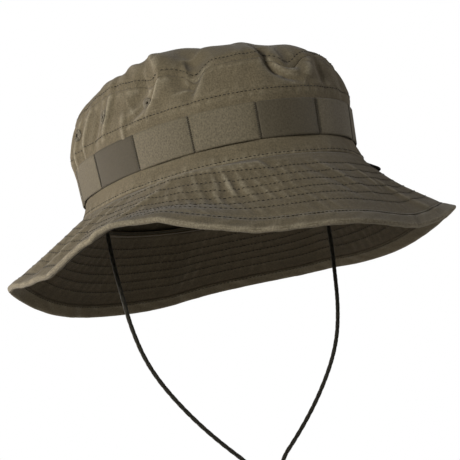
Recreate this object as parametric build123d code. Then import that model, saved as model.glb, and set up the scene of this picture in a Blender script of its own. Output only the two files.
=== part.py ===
from build123d import *
import math
import os

# Boonie hat, millimetres. +Z is up out of the crown, -Y is the front, +X is the wearer's left.
# The origin is the centre of the head opening, in the plane where the crown meets the brim.

# Head oval, taken at the outer face of the webbing's lower edge
half_length = 109.5
half_width = 91.5
side_flatter_than_ellipse = 19.0
widest_behind_middle = 8.0
side_radius = half_length**2 / half_width + side_flatter_than_ellipse

# Heights above the brim seam
webbing_bottom = 13.0
webbing_width = 25.0
top_stitch_above_webbing = 8.0
tip_seam_height = 69.0
dome_rise = 20.0

# How far the crown's outer face stands out of the oval at each height
crown_out_at_seam = 3.5
crown_out_at_webbing_top = 0.5
crown_out_at_stitch_row = 2.0
crown_out_at_tip_seam = -4.0

# Cloth thicknesses
webbing_thickness = 1.5
crown_cloth = 1.0
band_cloth = 0.8
sweatband_cloth = 1.6
tip_cloth = 1.0
tape_cloth = 0.8
brim_cloth = 0.9
interlining_cloth = 1.2
binding_cloth = 0.7

# Brim: its width down the slope, and its droop below level every 30 degrees from the front,
# going round by the wearer's left
brim_width = 70.0
binding_width = 11.0
brim_droop = (53, 58, 38, 44, 38, 38, 47, 46, 32, 39, 30, 50)
seam_allowance = 7.0

# Sweatband, labels and small sewn parts
sweatband_height = 32.0
tape_height = 6.0
label_width = 24.0
label_height = 16.0
label_thickness = 0.4
bartack_count = 14
bartack_phase = 14.5
bartack_width = 1.6
bartack_height = 0.5
eyelet_azimuths = (68, 84, 100)
eyelet_flange_radius = 4.25
eyelet_barrel_radius = 2.9
eyelet_bore_radius = 1.1
eyelet_flange = 0.6
sewn_gap = 0.1
bartack_lift = 0.01

# Chin cord, its tabs and its lock
cord_diameter = 3.0
cord_plane = 12.0
cord_exit_outside_oval = 0.5
cord_exit_z = -16.0
pivot_clearance = 0.15
tab_end_above_pivot = 1.0
tab_width = 10.0
tab_thickness = 4.4
strand_gap = 0.6
tail_end_z = -251.0
lock_length = 19.0
lock_radius = 7.0
lock_centre_z = -228.5
lock_wall = 1.4
cord_clearance = 0.35
plunger_clearance = 0.3
plunger_stand_out = 6.0
plunger_travel = 3.0
plunger_end_wall = 1.2
button_round = 1.0
spring_wire = 0.8
spring_turns = 2
spring_turn_gap = 0.04
knot_radius = 5.5
knot_seat_margin = 0.2
cord_tip = 4.0
bight_azimuth = 62
bight_reach = 13.0
bight_cord = 2.6
bight_droop = 30.0
bight_gap = 0.3
bight_strand_gap = 0.2

# Length of the tools that cut a hole right through a wall
cut_reach = 12.0

# Where a solid stands on its plane: below it, or above it
from_below = (Align.CENTER, Align.CENTER, Align.MAX)
from_above = (Align.CENTER, Align.CENTER, Align.MIN)

os.makedirs("parts", exist_ok=True)


def oval_arcs():
    """The front and back arc radii and the two azimuths where they meet the side arcs."""
    def end_radius(reach):
        return (2 * side_radius * half_width - half_width**2 - reach**2) / (2 * (side_radius - reach))

    front = end_radius(half_length + widest_behind_middle)
    back = end_radius(half_length - widest_behind_middle)
    side_centre = side_radius - half_width
    front_end = math.atan2(side_centre, widest_behind_middle + half_length - front)
    back_end = math.pi - math.atan2(side_centre, half_length - back - widest_behind_middle)
    return front, back, front_end, back_end


front_radius, back_radius, front_end, back_end = oval_arcs()


def oval_point(azimuth, out=0.0, z=0.0):
    """A point whose outward normal has this azimuth, in degrees from the front towards +X."""
    turn = math.radians((azimuth + 180) % 360 - 180)
    normal = Vector(math.sin(turn), -math.cos(turn))
    if abs(turn) < front_end:
        centre, radius = Vector(0, front_radius - half_length), front_radius
    elif abs(turn) > back_end:
        centre, radius = Vector(0, half_length - back_radius), back_radius
    else:
        side = math.copysign(side_radius - half_width, -turn)
        centre, radius = Vector(side, widest_behind_middle), side_radius
    return centre + normal * (radius + out) + Vector(0, 0, z)


def normal_at(azimuth):
    turn = math.radians(azimuth)
    return Vector(math.sin(turn), -math.cos(turn), 0)


# The oval's four arcs, each as start, middle and end azimuth
front_edge = math.degrees(front_end)
back_edge = math.degrees(back_end)
sectors = (
    (-front_edge, 0.0, front_edge),
    (front_edge, (front_edge + back_edge) / 2, back_edge),
    (back_edge, 180.0, 360 - back_edge),
    (360 - back_edge, 360 - (front_edge + back_edge) / 2, 360 - front_edge),
)


def oval_arc(sector, out, z):
    return ThreePointArc(*(oval_point(azimuth, out, z) for azimuth in sector))


def oval_face(out, z):
    return make_face(Wire([oval_arc(sector, out, z) for sector in sectors]))


def solid_stack(stations):
    """Ruled frustums through (z, out) stations, fused into one solid."""
    pieces = [
        loft([oval_face(low_out, low_z), oval_face(high_out, high_z)], ruled=True)
        for (low_z, low_out), (high_z, high_out) in zip(stations, stations[1:])
    ]
    body = pieces[0]
    for piece in pieces[1:]:
        body += piece
    return body


def wall(stations, thickness):
    """A wall whose outer face passes through (z, out) stations."""
    inner = [(z, out - thickness) for z, out in stations]
    return solid_stack(stations) - solid_stack(inner)


def crown_out(z):
    """How far the crown's outer face stands out of the oval at height z."""
    for (low_z, low_out), (high_z, high_out) in zip(crown_stations, crown_stations[1:]):
        if low_z <= z <= high_z:
            return low_out + (high_out - low_out) * (z - low_z) / (high_z - low_z)
    raise ValueError(z)


webbing_top = webbing_bottom + webbing_width
stitch_row = webbing_top + top_stitch_above_webbing
crown_stations = [
    (0.0, crown_out_at_seam),
    (webbing_bottom, -webbing_thickness),
    (webbing_top, crown_out_at_webbing_top),
    (stitch_row, crown_out_at_stitch_row),
    (tip_seam_height, crown_out_at_tip_seam),
]


def inside(stations, depth, top=None):
    """The stations of a face that lies depth inside the crown's outer face, up to height top."""
    kept = [(z, out - depth) for z, out in stations if top is None or z < top]
    return kept if top is None else kept + [(top, crown_out(top) - depth)]


def droop(azimuth):
    """The brim's droop in degrees at an azimuth, smooth between the named values."""
    step = 360 / len(brim_droop)
    place = (azimuth % 360) / step
    index, part = int(place), place % 1
    before, start, end, after = (brim_droop[(index + k) % len(brim_droop)] for k in (-1, 0, 1, 2))
    rise, fall = (end - before) / 2, (after - start) / 2
    return (
        start
        + rise * part
        + (3 * (end - start) - 2 * rise - fall) * part**2
        + (2 * (start - end) + rise + fall) * part**3
    )


def brim_point(azimuth, along, z=0.0):
    """A point on the brim's upper face, this far down the slope from the seam."""
    fall = math.radians(droop(azimuth))
    out = crown_out_at_seam + along * math.cos(fall)
    return oval_point(azimuth, out, z - along * math.sin(fall))


def brim_curve(sector, along, z, spans=8):
    start, _, end = sector
    turns = [start + (end - start) * k / spans for k in range(spans + 1)]
    return Spline(*(brim_point(turn, along, z) for turn in turns))


def brim_slope(top, thickness):
    """The sloping part of a brim layer: each quarter is a ruled face drawn down through its thickness."""
    quarters = [
        Solid.extrude(
            Face.make_surface_from_curves(
                oval_arc(sector, crown_out_at_seam, top).edge(),
                brim_curve(sector, brim_width, top).edge(),
            ),
            Vector(0, 0, -thickness),
        )
        for sector in sectors
    ]
    return quarters[0].fuse(*quarters[1:])


def seam_ring(top, thickness):
    """The flat seam allowance of a brim layer, under the crown's lower edge."""
    outer = extrude(oval_face(crown_out_at_seam, top - thickness), thickness)
    hole = extrude(oval_face(crown_out_at_seam - seam_allowance, top - thickness), thickness)
    return outer - hole


def brim_layer(top, thickness):
    return (seam_ring(top, thickness) + brim_slope(top, thickness)).clean()


def plan_prism(along, low, high):
    """A vertical prism over the plan of the brim at one distance down its slope."""
    points = [brim_point(turn, along) for turn in range(0, 360, 10)]
    outline = Spline(*(Vector(point.X, point.Y, low) for point in points), periodic=True)
    return extrude(make_face(Wire([outline])), high - low)


def export(name, shape):
    shape.label = name
    export_step(shape, f"parts/{name}.step")


def local_plane(azimuth, out, z, tilt=0.0):
    """A plane on the crown's face: its normal points outwards, tipped up by tilt degrees."""
    across = normal_at(azimuth)
    up = math.radians(tilt)
    facing = across * math.cos(up) + Vector(0, 0, math.sin(up))
    return Plane(origin=oval_point(azimuth, out, z), x_dir=across.cross(Vector(0, 0, 1)), z_dir=facing)


# Crown
upper_slope = math.degrees(
    math.atan2(crown_out_at_stitch_row - crown_out_at_tip_seam, tip_seam_height - stitch_row)
)
eyelet_height = (stitch_row + tip_seam_height) / 2


def eyelet_planes(side):
    return [
        local_plane(side * azimuth, crown_out(eyelet_height), eyelet_height, upper_slope)
        for azimuth in eyelet_azimuths
    ]


def make_crown_side_band():
    band = wall(crown_stations, crown_cloth)
    for plane in eyelet_planes(-1) + eyelet_planes(1):
        band -= plane * Cylinder(eyelet_barrel_radius, cut_reach)
    return band


def make_eyelets(side):
    barrel = Cylinder(eyelet_barrel_radius, crown_cloth + 2 * sewn_gap, align=from_below)
    flange = Cylinder(eyelet_flange_radius, eyelet_flange, align=from_above)
    ring = Pos(0, 0, sewn_gap) * (barrel + flange) - Cylinder(eyelet_bore_radius, cut_reach)
    return Compound(children=[plane * ring for plane in eyelet_planes(side)])


def make_crown_tip():
    """A shallow dome that stands on the side band's top edge."""
    profile = ((0.0, 0.0), (0.42, 5.0), (0.74, 16.0), (0.92, 33.0), (1.0, 51.0))
    stations = [
        (tip_seam_height + share * dome_rise, crown_out_at_tip_seam - inset) for share, inset in profile
    ]
    hollow = [(tip_seam_height, crown_out_at_tip_seam - tip_cloth)] + [
        (z - tip_cloth, out - tip_cloth) for z, out in stations[1:]
    ]
    return solid_stack(stations) - solid_stack(hollow)


def make_tip_seam_tape():
    top = tip_seam_height
    return wall(
        [(z, crown_out(z) - crown_cloth) for z in (top - tape_height, top)],
        tape_cloth,
    )


def make_reinforcement_band():
    return wall(inside(crown_stations, crown_cloth, stitch_row), band_cloth)


def make_sweatband():
    return wall(inside(crown_stations, crown_cloth + band_cloth, sweatband_height), sweatband_cloth)


webbing_top_out = crown_out_at_webbing_top + webbing_thickness


def make_webbing():
    return wall([(webbing_bottom, 0.0), (webbing_top, webbing_top_out)], webbing_thickness)


def arc_azimuths(count, phase):
    """Azimuths that lie evenly round the oval's edge, the first one phase millimetres from the front."""
    steps = 3600
    points = [oval_point(360 * k / steps) for k in range(steps + 1)]
    travelled = [0.0]
    for here, there in zip(points, points[1:]):
        travelled.append(travelled[-1] + (there - here).length)
    pitch = travelled[-1] / count
    found = []
    for k in range(count):
        target = phase + k * pitch
        nearest = min(range(steps), key=lambda i: abs(travelled[i] - target))
        found.append(360 * nearest / steps)
    return found


def make_bartacks():
    """A raised row of zigzag thread over each join between two webbing loops."""
    tilt = math.degrees(math.atan2(webbing_top_out, webbing_width))
    height = webbing_width / math.cos(math.radians(tilt))
    middle = webbing_bottom + webbing_width / 2
    bar = Pos(0, 0, bartack_lift) * Box(bartack_width, height, bartack_height, align=from_above)
    azimuths = arc_azimuths(bartack_count, bartack_phase)
    return Compound(
        children=[local_plane(azimuth, webbing_top_out / 2, middle, -tilt) * bar for azimuth in azimuths]
    )


def make_label():
    """A blank woven tag behind the wearer's head, on the sweatband's inner face."""
    depth = crown_cloth + band_cloth + sweatband_cloth
    ends = (webbing_bottom, webbing_bottom + label_height)
    tag = wall([(z, crown_out(z) - depth) for z in ends], label_thickness)
    return tag & (Pos(0, half_length, 0) * Box(label_width, half_length, 2 * tip_seam_height))


# Brim
top_of_interlining = -brim_cloth
top_of_underside = top_of_interlining - interlining_cloth
brim_thickness = 2 * brim_cloth + interlining_cloth


def make_binding():
    """Folded binding: a leg on each face of the brim and a web round its edge."""
    reach = brim_width + 2 * brim_thickness
    keep_out = plan_prism(brim_width - binding_width, -reach, reach)
    upper = brim_slope(binding_cloth, binding_cloth) - keep_out
    lower = brim_slope(-brim_thickness, binding_cloth) - keep_out
    webs = []
    for sector in sectors:
        inner = brim_curve(sector, brim_width, binding_cloth).edge()
        outer = brim_curve(sector, brim_width + binding_cloth, binding_cloth).edge()
        face = Face.make_surface_from_curves(inner, outer)
        webs.append(Solid.extrude(face, Vector(0, 0, -brim_thickness - 2 * binding_cloth)))
    return upper.fuse(lower, *webs)


# Chin cord
strand_offset = (cord_diameter + strand_gap) / 2
cord_exit_x = half_width + cord_exit_outside_oval
cord_route = [
    (cord_exit_x, cord_exit_z),
    (cord_exit_x, -35.0),
    (89.5, -60.0),
    (86.5, -86.0),
    (79.0, -112.0),
    (63.0, -138.0),
    (38.0, -167.0),
    (strand_offset, -199.0),
    (strand_offset, tail_end_z),
]


def corner_radii(points):
    radii = []
    for before, corner, after in zip(points, points[1:], points[2:]):
        turn = math.radians((corner - before).get_angle(after - corner))
        run = min((corner - before).length, (after - corner).length)
        radii.append(0.45 * run / math.tan(turn / 2))
    return radii


def make_cord(name, side):
    """One strand, with a round end that turns in its tab's groove."""
    points = [Vector(side * x, cord_plane, z) for x, z in cord_route]
    radii = corner_radii(points)
    path = FilletPolyline(*points, radius=radii)
    section = Plane(origin=path @ 0, z_dir=path % 0) * Circle(cord_diameter / 2)
    tube = sweep(section, path=path)
    share = tube.volume / (math.pi * cord_diameter**2 / 4 * path.length)
    print(name, "length", round(path.length, 1), "volume share", round(share, 4))
    print("  radii", [round(radius, 1) for radius in radii])
    return tube + Pos(points[0]) * Sphere(cord_diameter / 2)


def make_tab(side):
    """A folded tape that hangs from the brim seam, with a groove that the strand's end turns in."""
    height = -brim_thickness - cord_exit_z - tab_end_above_pivot
    tab = Box(tab_thickness, tab_width, height, align=from_above)
    tab = fillet(tab.edges().filter_by(Axis.X).group_by(Axis.Z)[0], tab_width / 5)
    pivot = Rot(0, 90, 0) * Cylinder(cord_diameter / 2 + pivot_clearance, cut_reach)
    tab -= Pos(0, 0, -tab_end_above_pivot) * pivot
    return Pos(side * cord_exit_x, cord_plane, cord_exit_z + tab_end_above_pivot) * tab


def make_bight():
    """A doubled end of cord that stands out of the brim seam beside the wearer's left temple."""
    bend = (bight_cord + bight_strand_gap) / 2
    straight = bight_reach - bend - bight_cord / 2
    path = Line((-bend, 0), (-bend, straight))
    path += ThreePointArc((-bend, straight), (0, straight + bend), (bend, straight))
    path += Line((bend, straight), (bend, 0))
    section = Plane(origin=(-bend, 0, 0), z_dir=(0, 1, 0)) * Circle(bight_cord / 2)
    loop = sweep(section, path=path)
    seat = oval_point(bight_azimuth, crown_out_at_seam + bight_gap, bight_cord / 2 + bight_gap)
    across = normal_at(bight_azimuth).cross(Vector(0, 0, 1))
    return Plane(origin=seat, x_dir=across, z_dir=Vector(0, 0, 1)) * Rot(-bight_droop, 0, 0) * loop


# Cord lock: a barrel lying front to back, with its button at the front
slot_half_x = strand_offset + cord_diameter / 2 + cord_clearance
slot_half_y = cord_diameter / 2 + cord_clearance
lock_place = Pos(0, cord_plane, lock_centre_z)
bore_radius = lock_radius - lock_wall
bore_end = lock_length / 2 - lock_wall
plunger_end = slot_half_y + plunger_end_wall
front_face = -lock_length / 2


def along_y(radius, start, end):
    """A cylinder along Y between two places."""
    return Pos(0, start, 0) * (Rot(-90, 0, 0) * Cylinder(radius, end - start, align=from_above))


def strand_slot(back, front):
    """The straight way through for both strands."""
    return Pos(0, (back + front) / 2, 0) * Box(2 * slot_half_x, front - back, 4 * lock_radius)


def make_lock_body():
    shell = along_y(lock_radius, front_face, -front_face)
    shell = fillet(shell.edges().filter_by(GeomType.CIRCLE), lock_wall / 2)
    shell -= along_y(bore_radius, front_face - lock_wall, bore_end)
    return lock_place * (shell - strand_slot(-slot_half_y, slot_half_y))


def make_plunger():
    shaft = along_y(bore_radius - plunger_clearance, front_face - plunger_stand_out, plunger_end)
    rim = shaft.edges().filter_by(GeomType.CIRCLE).group_by(Axis.Y)[0]
    shaft = fillet(rim, button_round)
    return lock_place * (shaft - strand_slot(-slot_half_y - plunger_travel, slot_half_y))


def make_spring():
    """The coil spring at its pressed height, seated on the barrel's closed end."""
    room = bore_end - plunger_end - plunger_travel
    pitch = (room - spring_wire) / spring_turns
    coil_radius = bore_radius - plunger_clearance - spring_wire
    helix = Helix(pitch, pitch * spring_turns, coil_radius)
    section = Plane(origin=helix @ 0, z_dir=helix % 0) * Circle((spring_wire - spring_turn_gap) / 2)
    coil = sweep(section, path=helix, is_frenet=True)
    start = bore_end - room + spring_wire / 2
    return lock_place * Pos(0, start, 0) * (Rot(-90, 0, 0) * coil)


def make_knot():
    """The stopper knot that ties both tails together, with their sealed tips below it."""
    seat_radius = strand_offset + cord_diameter / 2 + knot_seat_margin
    drop = math.sqrt(knot_radius**2 - seat_radius**2)
    room = 4 * knot_radius
    ball = Sphere(knot_radius) & Pos(0, 0, drop) * Box(room, room, room, align=from_below)
    for side in (-1, 1):
        tip = Cylinder(cord_diameter / 2, knot_radius + cord_tip, align=from_below)
        ball += Pos(side * strand_offset, 0, 0) * tip
    return Pos(0, cord_plane, tail_end_z - drop) * ball


print("end arc radii", round(front_radius, 1), round(back_radius, 1))

export("crown_side_band", make_crown_side_band())
export("crown_tip", make_crown_tip())
export("tip_seam_tape", make_tip_seam_tape())
export("reinforcement_band", make_reinforcement_band())
export("sweatband", make_sweatband())
export("webbing_loop_band", make_webbing())
export("webbing_bartacks", make_bartacks())
export("size_label", make_label())
export("vent_eyelets_right", make_eyelets(-1))
export("vent_eyelets_left", make_eyelets(1))
export("brim_top", brim_layer(0.0, brim_cloth))
export("brim_interlining", brim_layer(top_of_interlining, interlining_cloth))
export("brim_bottom", brim_layer(top_of_underside, brim_cloth))
export("brim_edge_binding", make_binding())
export("chin_cord_right", make_cord("chin_cord_right", -1))
export("chin_cord_left", make_cord("chin_cord_left", 1))
export("cord_tab_right", make_tab(-1))
export("cord_tab_left", make_tab(1))
export("left_cord_bight", make_bight())
export("cord_lock_barrel", make_lock_body())
export("cord_lock_button", make_plunger())
export("cord_lock_spring", make_spring())
export("cord_end_knot", make_knot())
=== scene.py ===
import logging
import math
from dataclasses import dataclass, field
from enum import Enum
from functools import cached_property

import bpy
import numpy as np
from mathutils import Matrix


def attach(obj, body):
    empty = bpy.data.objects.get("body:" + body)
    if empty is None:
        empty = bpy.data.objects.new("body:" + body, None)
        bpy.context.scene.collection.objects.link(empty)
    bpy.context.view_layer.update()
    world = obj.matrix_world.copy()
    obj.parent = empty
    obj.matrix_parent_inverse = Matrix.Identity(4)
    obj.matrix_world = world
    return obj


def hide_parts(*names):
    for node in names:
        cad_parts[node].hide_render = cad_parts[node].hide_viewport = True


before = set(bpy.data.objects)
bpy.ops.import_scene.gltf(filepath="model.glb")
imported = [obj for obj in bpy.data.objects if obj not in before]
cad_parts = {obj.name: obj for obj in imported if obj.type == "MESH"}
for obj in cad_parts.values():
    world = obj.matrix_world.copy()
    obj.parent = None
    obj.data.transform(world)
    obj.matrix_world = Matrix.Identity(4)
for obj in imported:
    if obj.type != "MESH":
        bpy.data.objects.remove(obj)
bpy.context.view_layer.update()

# A boonie hat, dressed round its CAD frame. Patterns are worked out in millimetres, as a hatter marks
# them, and turned into the frame's metres when a mesh is made. -Y is the front, +X the wearer's left.
MM = 0.001
log = logging.getLogger("boonie_hat")


class Body(str, Enum):
    """The bodies of the frame that pieces ride on."""

    HAT = "hat"
    CHIN_LOOP = "chin_loop"


class Side(Enum):
    """The wearer's two sides, as signs along X."""

    RIGHT = -1
    LEFT = 1


# ---------------------------------------------------------------------------------- shader building


Socket = bpy.types.NodeSocket
Colour = tuple[float, float, float]


class Graph:
    """A node tree that is built one node at a time."""

    def __init__(self, tree: bpy.types.NodeTree) -> None:
        """Start on an empty tree.

        Args:
            tree: The tree to fill.
        """
        self.tree = tree
        tree.nodes.clear()

    def node(
        self, kind: str, inputs: dict[str | int, object] | None = None, **settings: object
    ) -> bpy.types.Node:
        """Add a node.

        Args:
            kind: The node's type name without its "ShaderNode" prefix.
            inputs: Socket names or numbers, each with a value or with a socket to link from.
            settings: Properties of the node itself.

        Returns:
            The new node.
        """
        made = self.tree.nodes.new(f"ShaderNode{kind}")
        for name, value in settings.items():
            setattr(made, name, value)
        for socket, value in (inputs or {}).items():
            if isinstance(value, Socket):
                self.tree.links.new(value, made.inputs[socket])
            else:
                made.inputs[socket].default_value = value
        return made

    def math(self, operation: str, *values: Socket | float) -> Socket:
        """Add a Math node and return its result."""
        return self.node("Math", dict(enumerate(values)), operation=operation).outputs[0]

    def noise(self, vector: Socket, scale: float, detail: float) -> Socket:
        """Add a noise texture and return its factor."""
        return self.node("TexNoise", {"Vector": vector, "Scale": scale, "Detail": detail}).outputs["Fac"]

    def scaled(self, vector: Socket, factor: Socket) -> Socket:
        """Add a node that scales a vector or a colour, and return its result."""
        return self.node("VectorMath", {0: vector, "Scale": factor}, operation="SCALE").outputs[0]

    def stretched(self, vector: Socket, factors: tuple[float, float, float]) -> Socket:
        """Add a node that scales each axis of a vector by itself, and return its result."""
        return self.node("VectorMath", {0: vector, 1: factors}, operation="MULTIPLY").outputs[0]

    def blended(self, share: Socket, low: Socket | tuple, high: Socket | tuple) -> Socket:
        """Add a node that mixes two colours, and return its result."""
        return self.node("Mix", {0: share, 6: low, 7: high}, data_type="RGBA").outputs[2]

    def group(self, tree: bpy.types.NodeTree, inputs: dict[str, object]) -> bpy.types.Node:
        """Place a node group with its inputs set or linked."""
        return self.node("Group", inputs, node_tree=tree)


def new_group(
    name: str, inputs: dict[str, str], outputs: dict[str, str]
) -> tuple[Graph, dict[str, Socket], dict[str, Socket]]:
    """Start a shader node group.

    Args:
        name: The group's name.
        inputs: Input names, each with its socket kind, such as "Float".
        outputs: Output names, each with its socket kind.

    Returns:
        The graph to fill, the group's input sockets by name, and its output sockets by name.
    """
    tree = bpy.data.node_groups.new(name, "ShaderNodeTree")
    graph = Graph(tree)
    for socket, kind in inputs.items():
        tree.interface.new_socket(socket, in_out="INPUT", socket_type=f"NodeSocket{kind}")
    for socket, kind in outputs.items():
        tree.interface.new_socket(socket, in_out="OUTPUT", socket_type=f"NodeSocket{kind}")
    entry = tree.nodes.new("NodeGroupInput")
    leave = tree.nodes.new("NodeGroupOutput")
    return graph, dict(entry.outputs.items()), dict(leave.inputs.items())


class EffectGroups:
    """The shader effects that several finishes share, each one built once."""

    @cached_property
    def weave(self) -> bpy.types.NodeTree:
        """Interlaced yarns: their height, and the shade that differs from yarn to yarn.

        Returns:
            The group, which gives the height and the shade.
        """
        graph, given, out = new_group(
            "woven_yarns",
            {"Grain": "Vector", "Yarn Pitch": "Float", "Twill": "Float"},
            {"Height": "Float", "Yarn Shade": "Float"},
        )
        per_metre = graph.math("DIVIDE", 1.0, given["Yarn Pitch"])
        cloth = graph.scaled(given["Grain"], per_metre)
        wander = graph.node("TexNoise", {"Vector": cloth, "Scale": 0.17, "Detail": 1.0}).outputs["Color"]
        bent = graph.node(
            "VectorMath", {0: wander, 1: (0.9, 0.9, 0.0), 2: cloth}, operation="MULTIPLY_ADD"
        ).outputs[0]
        parts = graph.node("SeparateXYZ", {0: bent})
        warp, weft = parts.outputs[0], parts.outputs[1]
        warp_wave = graph.math("SINE", graph.math("MULTIPLY", warp, math.pi))
        weft_wave = graph.math("SINE", graph.math("MULTIPLY", weft, math.pi))
        plain = graph.math("MULTIPLY_ADD", graph.math("MULTIPLY", warp_wave, weft_wave), 0.5, 0.5)
        slant = graph.math("MULTIPLY", graph.math("ADD", warp, weft), 2.0 * math.pi / 3.0)
        ribs = graph.math("MULTIPLY_ADD", graph.math("SINE", slant), 0.35, 0.5)
        ribbed = graph.math("MULTIPLY_ADD", graph.math("ABSOLUTE", warp_wave), 0.25, ribs)
        height = graph.node("Mix", {0: given["Twill"], 2: plain, 3: ribbed}).outputs[0]
        graph.tree.links.new(height, out["Height"])
        warp_shade = graph.noise(graph.stretched(cloth, (0.9, 0.03, 0.0)), 1.0, 2.0)
        weft_shade = graph.noise(graph.stretched(cloth, (0.03, 0.9, 0.0)), 1.0, 2.0)
        shade = graph.math("MULTIPLY", graph.math("ADD", warp_shade, weft_shade), 0.5)
        graph.tree.links.new(shade, out["Yarn Shade"])
        return graph.tree

    @cached_property
    def dye(self) -> bpy.types.NodeTree:
        """Dyed cloth: colour that drifts over the surface, yarn streaks, painted shade in the weave's low
        places, and a second colour mixed in by each point's share.

        Returns:
            The group, which gives the colour and the second colour's share.
        """
        graph, given, out = new_group(
            "dyed_cloth",
            {
                "Place": "Vector",
                "Colour": "Color",
                "Lightened And Shaded Colour": "Color",
                "Yarn Shade": "Float",
                "Height": "Float",
                "Rub": "Float",
                "Drift": "Float",
            },
            {"Colour": "Color", "Fading": "Float"},
        )
        broad = graph.noise(given["Place"], 28.0, 3.0)
        fine = graph.noise(given["Place"], 900.0, 2.0)
        drift = graph.math("MULTIPLY", graph.math("SUBTRACT", broad, 0.5), given["Drift"])
        speck = graph.math("MULTIPLY_ADD", graph.math("SUBTRACT", fine, 0.5), 1.1, 1.0)
        streak = graph.math("MULTIPLY_ADD", graph.math("SUBTRACT", given["Yarn Shade"], 0.5), 0.9, speck)
        # Painted shade: the colour darkens in the weave's low places, between the yarns or plies.
        relief = graph.math("MULTIPLY_ADD", graph.math("SUBTRACT", given["Height"], 0.5), 0.28, streak)
        shade = graph.math("ADD", relief, drift)
        # The second colour's share: lighter on proud ridges and the hem's edge, painted shade on threads,
        # cords, eyelets and webbing loops.
        lightening_and_shade = graph.math("MULTIPLY", given["Rub"], graph.math("MULTIPLY_ADD", fine, 0.8, 0.6))
        lightening_and_shade_share = graph.node("Clamp", {0: lightening_and_shade}).outputs[0]
        tint = graph.blended(lightening_and_shade_share, given["Colour"], given["Lightened And Shaded Colour"])
        graph.tree.links.new(graph.scaled(tint, shade), out["Colour"])
        graph.tree.links.new(lightening_and_shade_share, out["Fading"])
        return graph.tree

    @cached_property
    def ribs(self) -> bpy.types.NodeTree:
        """Webbing: stout warp cords side by side, crossed by finer picks.

        Returns:
            The group, which gives the height and the shade.
        """
        graph, given, out = new_group(
            "ribbed_tape",
            {"Grain": "Vector", "Rib Pitch": "Float"},
            {"Height": "Float", "Yarn Shade": "Float"},
        )
        per_metre = graph.math("DIVIDE", 1.0, given["Rib Pitch"])
        tape = graph.scaled(given["Grain"], per_metre)
        parts = graph.node("SeparateXYZ", {0: tape})
        rib = graph.math("ABSOLUTE", graph.math("SINE", graph.math("MULTIPLY", parts.outputs[0], math.pi)))
        row = graph.math("FLOOR", parts.outputs[0])
        stagger = graph.math("MULTIPLY_ADD", row, 0.5, graph.math("MULTIPLY", parts.outputs[1], 1.6))
        pick = graph.math("ABSOLUTE", graph.math("SINE", graph.math("MULTIPLY", stagger, math.pi)))
        height = graph.math("MULTIPLY", rib, graph.math("MULTIPLY_ADD", pick, 0.45, 0.55))
        graph.tree.links.new(height, out["Height"])
        shade = graph.noise(graph.stretched(tape, (0.6, 0.35, 0.0)), 1.0, 3.0)
        graph.tree.links.new(shade, out["Yarn Shade"])
        return graph.tree

    @cached_property
    def grain(self) -> bpy.types.NodeTree:
        """The fine spark-eroded grain of a moulding, with a little dust in its hollows.

        Returns:
            The group, which gives the height, the colour and the roughness.
        """
        graph, given, out = new_group(
            "moulded_grain",
            {"Place": "Vector", "Grain Size": "Float", "Colour": "Color", "Dust Colour": "Color"},
            {"Height": "Float", "Colour": "Color", "Roughness": "Float"},
        )
        scale = graph.math("DIVIDE", 1.0, given["Grain Size"])
        pits = graph.node("TexVoronoi", {"Vector": given["Place"], "Scale": scale}).outputs["Distance"]
        dust = graph.noise(given["Place"], 160.0, 4.0)
        settled = graph.node("MapRange", {0: dust, 1: 0.52, 2: 0.8, 3: 0.0, 4: 0.35}).outputs[0]
        graph.tree.links.new(pits, out["Height"])
        graph.tree.links.new(graph.blended(settled, given["Colour"], given["Dust Colour"]), out["Colour"])
        graph.tree.links.new(graph.math("MULTIPLY_ADD", dust, 0.25, 0.35), out["Roughness"])
        return graph.tree


EFFECTS = EffectGroups()
OLIVE: Colour = (0.124, 0.100, 0.060)
OLIVE_LIGHTER: Colour = (0.240, 0.206, 0.140)


class Weave(Enum):
    """How a cloth's yarns cross."""

    PLAIN = 0.0
    TWILL = 1.0


def opaque(
    graph: Graph, colour: Socket, roughness: Socket | float, height: Socket, relief: float, sheen: float
) -> None:
    """Finish a material with a Principled shader over a bump.

    Args:
        graph: The material's graph.
        colour: The socket that gives the base colour.
        roughness: A roughness, or the socket that gives it.
        height: The socket that gives the relief, from 0 to 1.
        relief: The relief's depth in metres.
        sheen: How much light the surface fibres scatter.
    """
    bump = graph.node("Bump", {"Height": height, "Distance": relief, "Strength": 1.0})
    shader = graph.node(
        "BsdfPrincipled", {"Base Color": colour, "Roughness": roughness, "Normal": bump.outputs[0]}
    )
    shader.inputs["Sheen Weight"].default_value = sheen
    shader.inputs["Sheen Roughness"].default_value = 0.45
    shader.inputs["Specular IOR Level"].default_value = 0.16
    graph.node("OutputMaterial", {0: shader.outputs[0]})


def dyed(
    graph: Graph, fresh: Colour, lightened_and_shaded: Colour, shade: Socket, height: Socket, drift: float
) -> bpy.types.Node:
    """Place the dye on a material, with a second colour mixed in where the piece's points say so.

    Args:
        graph: The material's graph.
        fresh: The colour as dyed.
        lightened_and_shaded: The second colour: lighter where cloth stands proud, and painted shade where
            thread sinks into its neighbour or a webbing loop is shaded.
        shade: The socket that gives the yarns' own shade.
        height: The socket that gives the relief, from 0 to 1.
        drift: How far the colour drifts over the piece.

    Returns:
        The group's node.
    """
    return graph.group(
        EFFECTS.dye,
        {
            "Place": graph.node("TexCoord").outputs["Object"],
            "Colour": (*fresh, 1.0),
            "Lightened And Shaded Colour": (*lightened_and_shaded, 1.0),
            "Yarn Shade": shade,
            "Height": height,
            "Rub": graph.node("Attribute", attribute_name="rub").outputs["Fac"],
            "Drift": drift,
        },
    )


@dataclass(frozen=True)
class Finish:
    """What a piece is made of: the name of its material, and the name of a slot."""

    name: str
    slot: str

    def material(self) -> bpy.types.Material:
        """Give the finish as a material, which is made the first time that it is asked for.

        Returns:
            The material.
        """
        if self.name not in bpy.data.materials:
            made = bpy.data.materials.new(self.name)
            made.use_nodes = True
            self.shade(Graph(made.node_tree))
        return bpy.data.materials[self.name]

    def shade(self, graph: Graph) -> None:
        """Build the material's shader on its empty graph."""
        raise NotImplementedError


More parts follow.
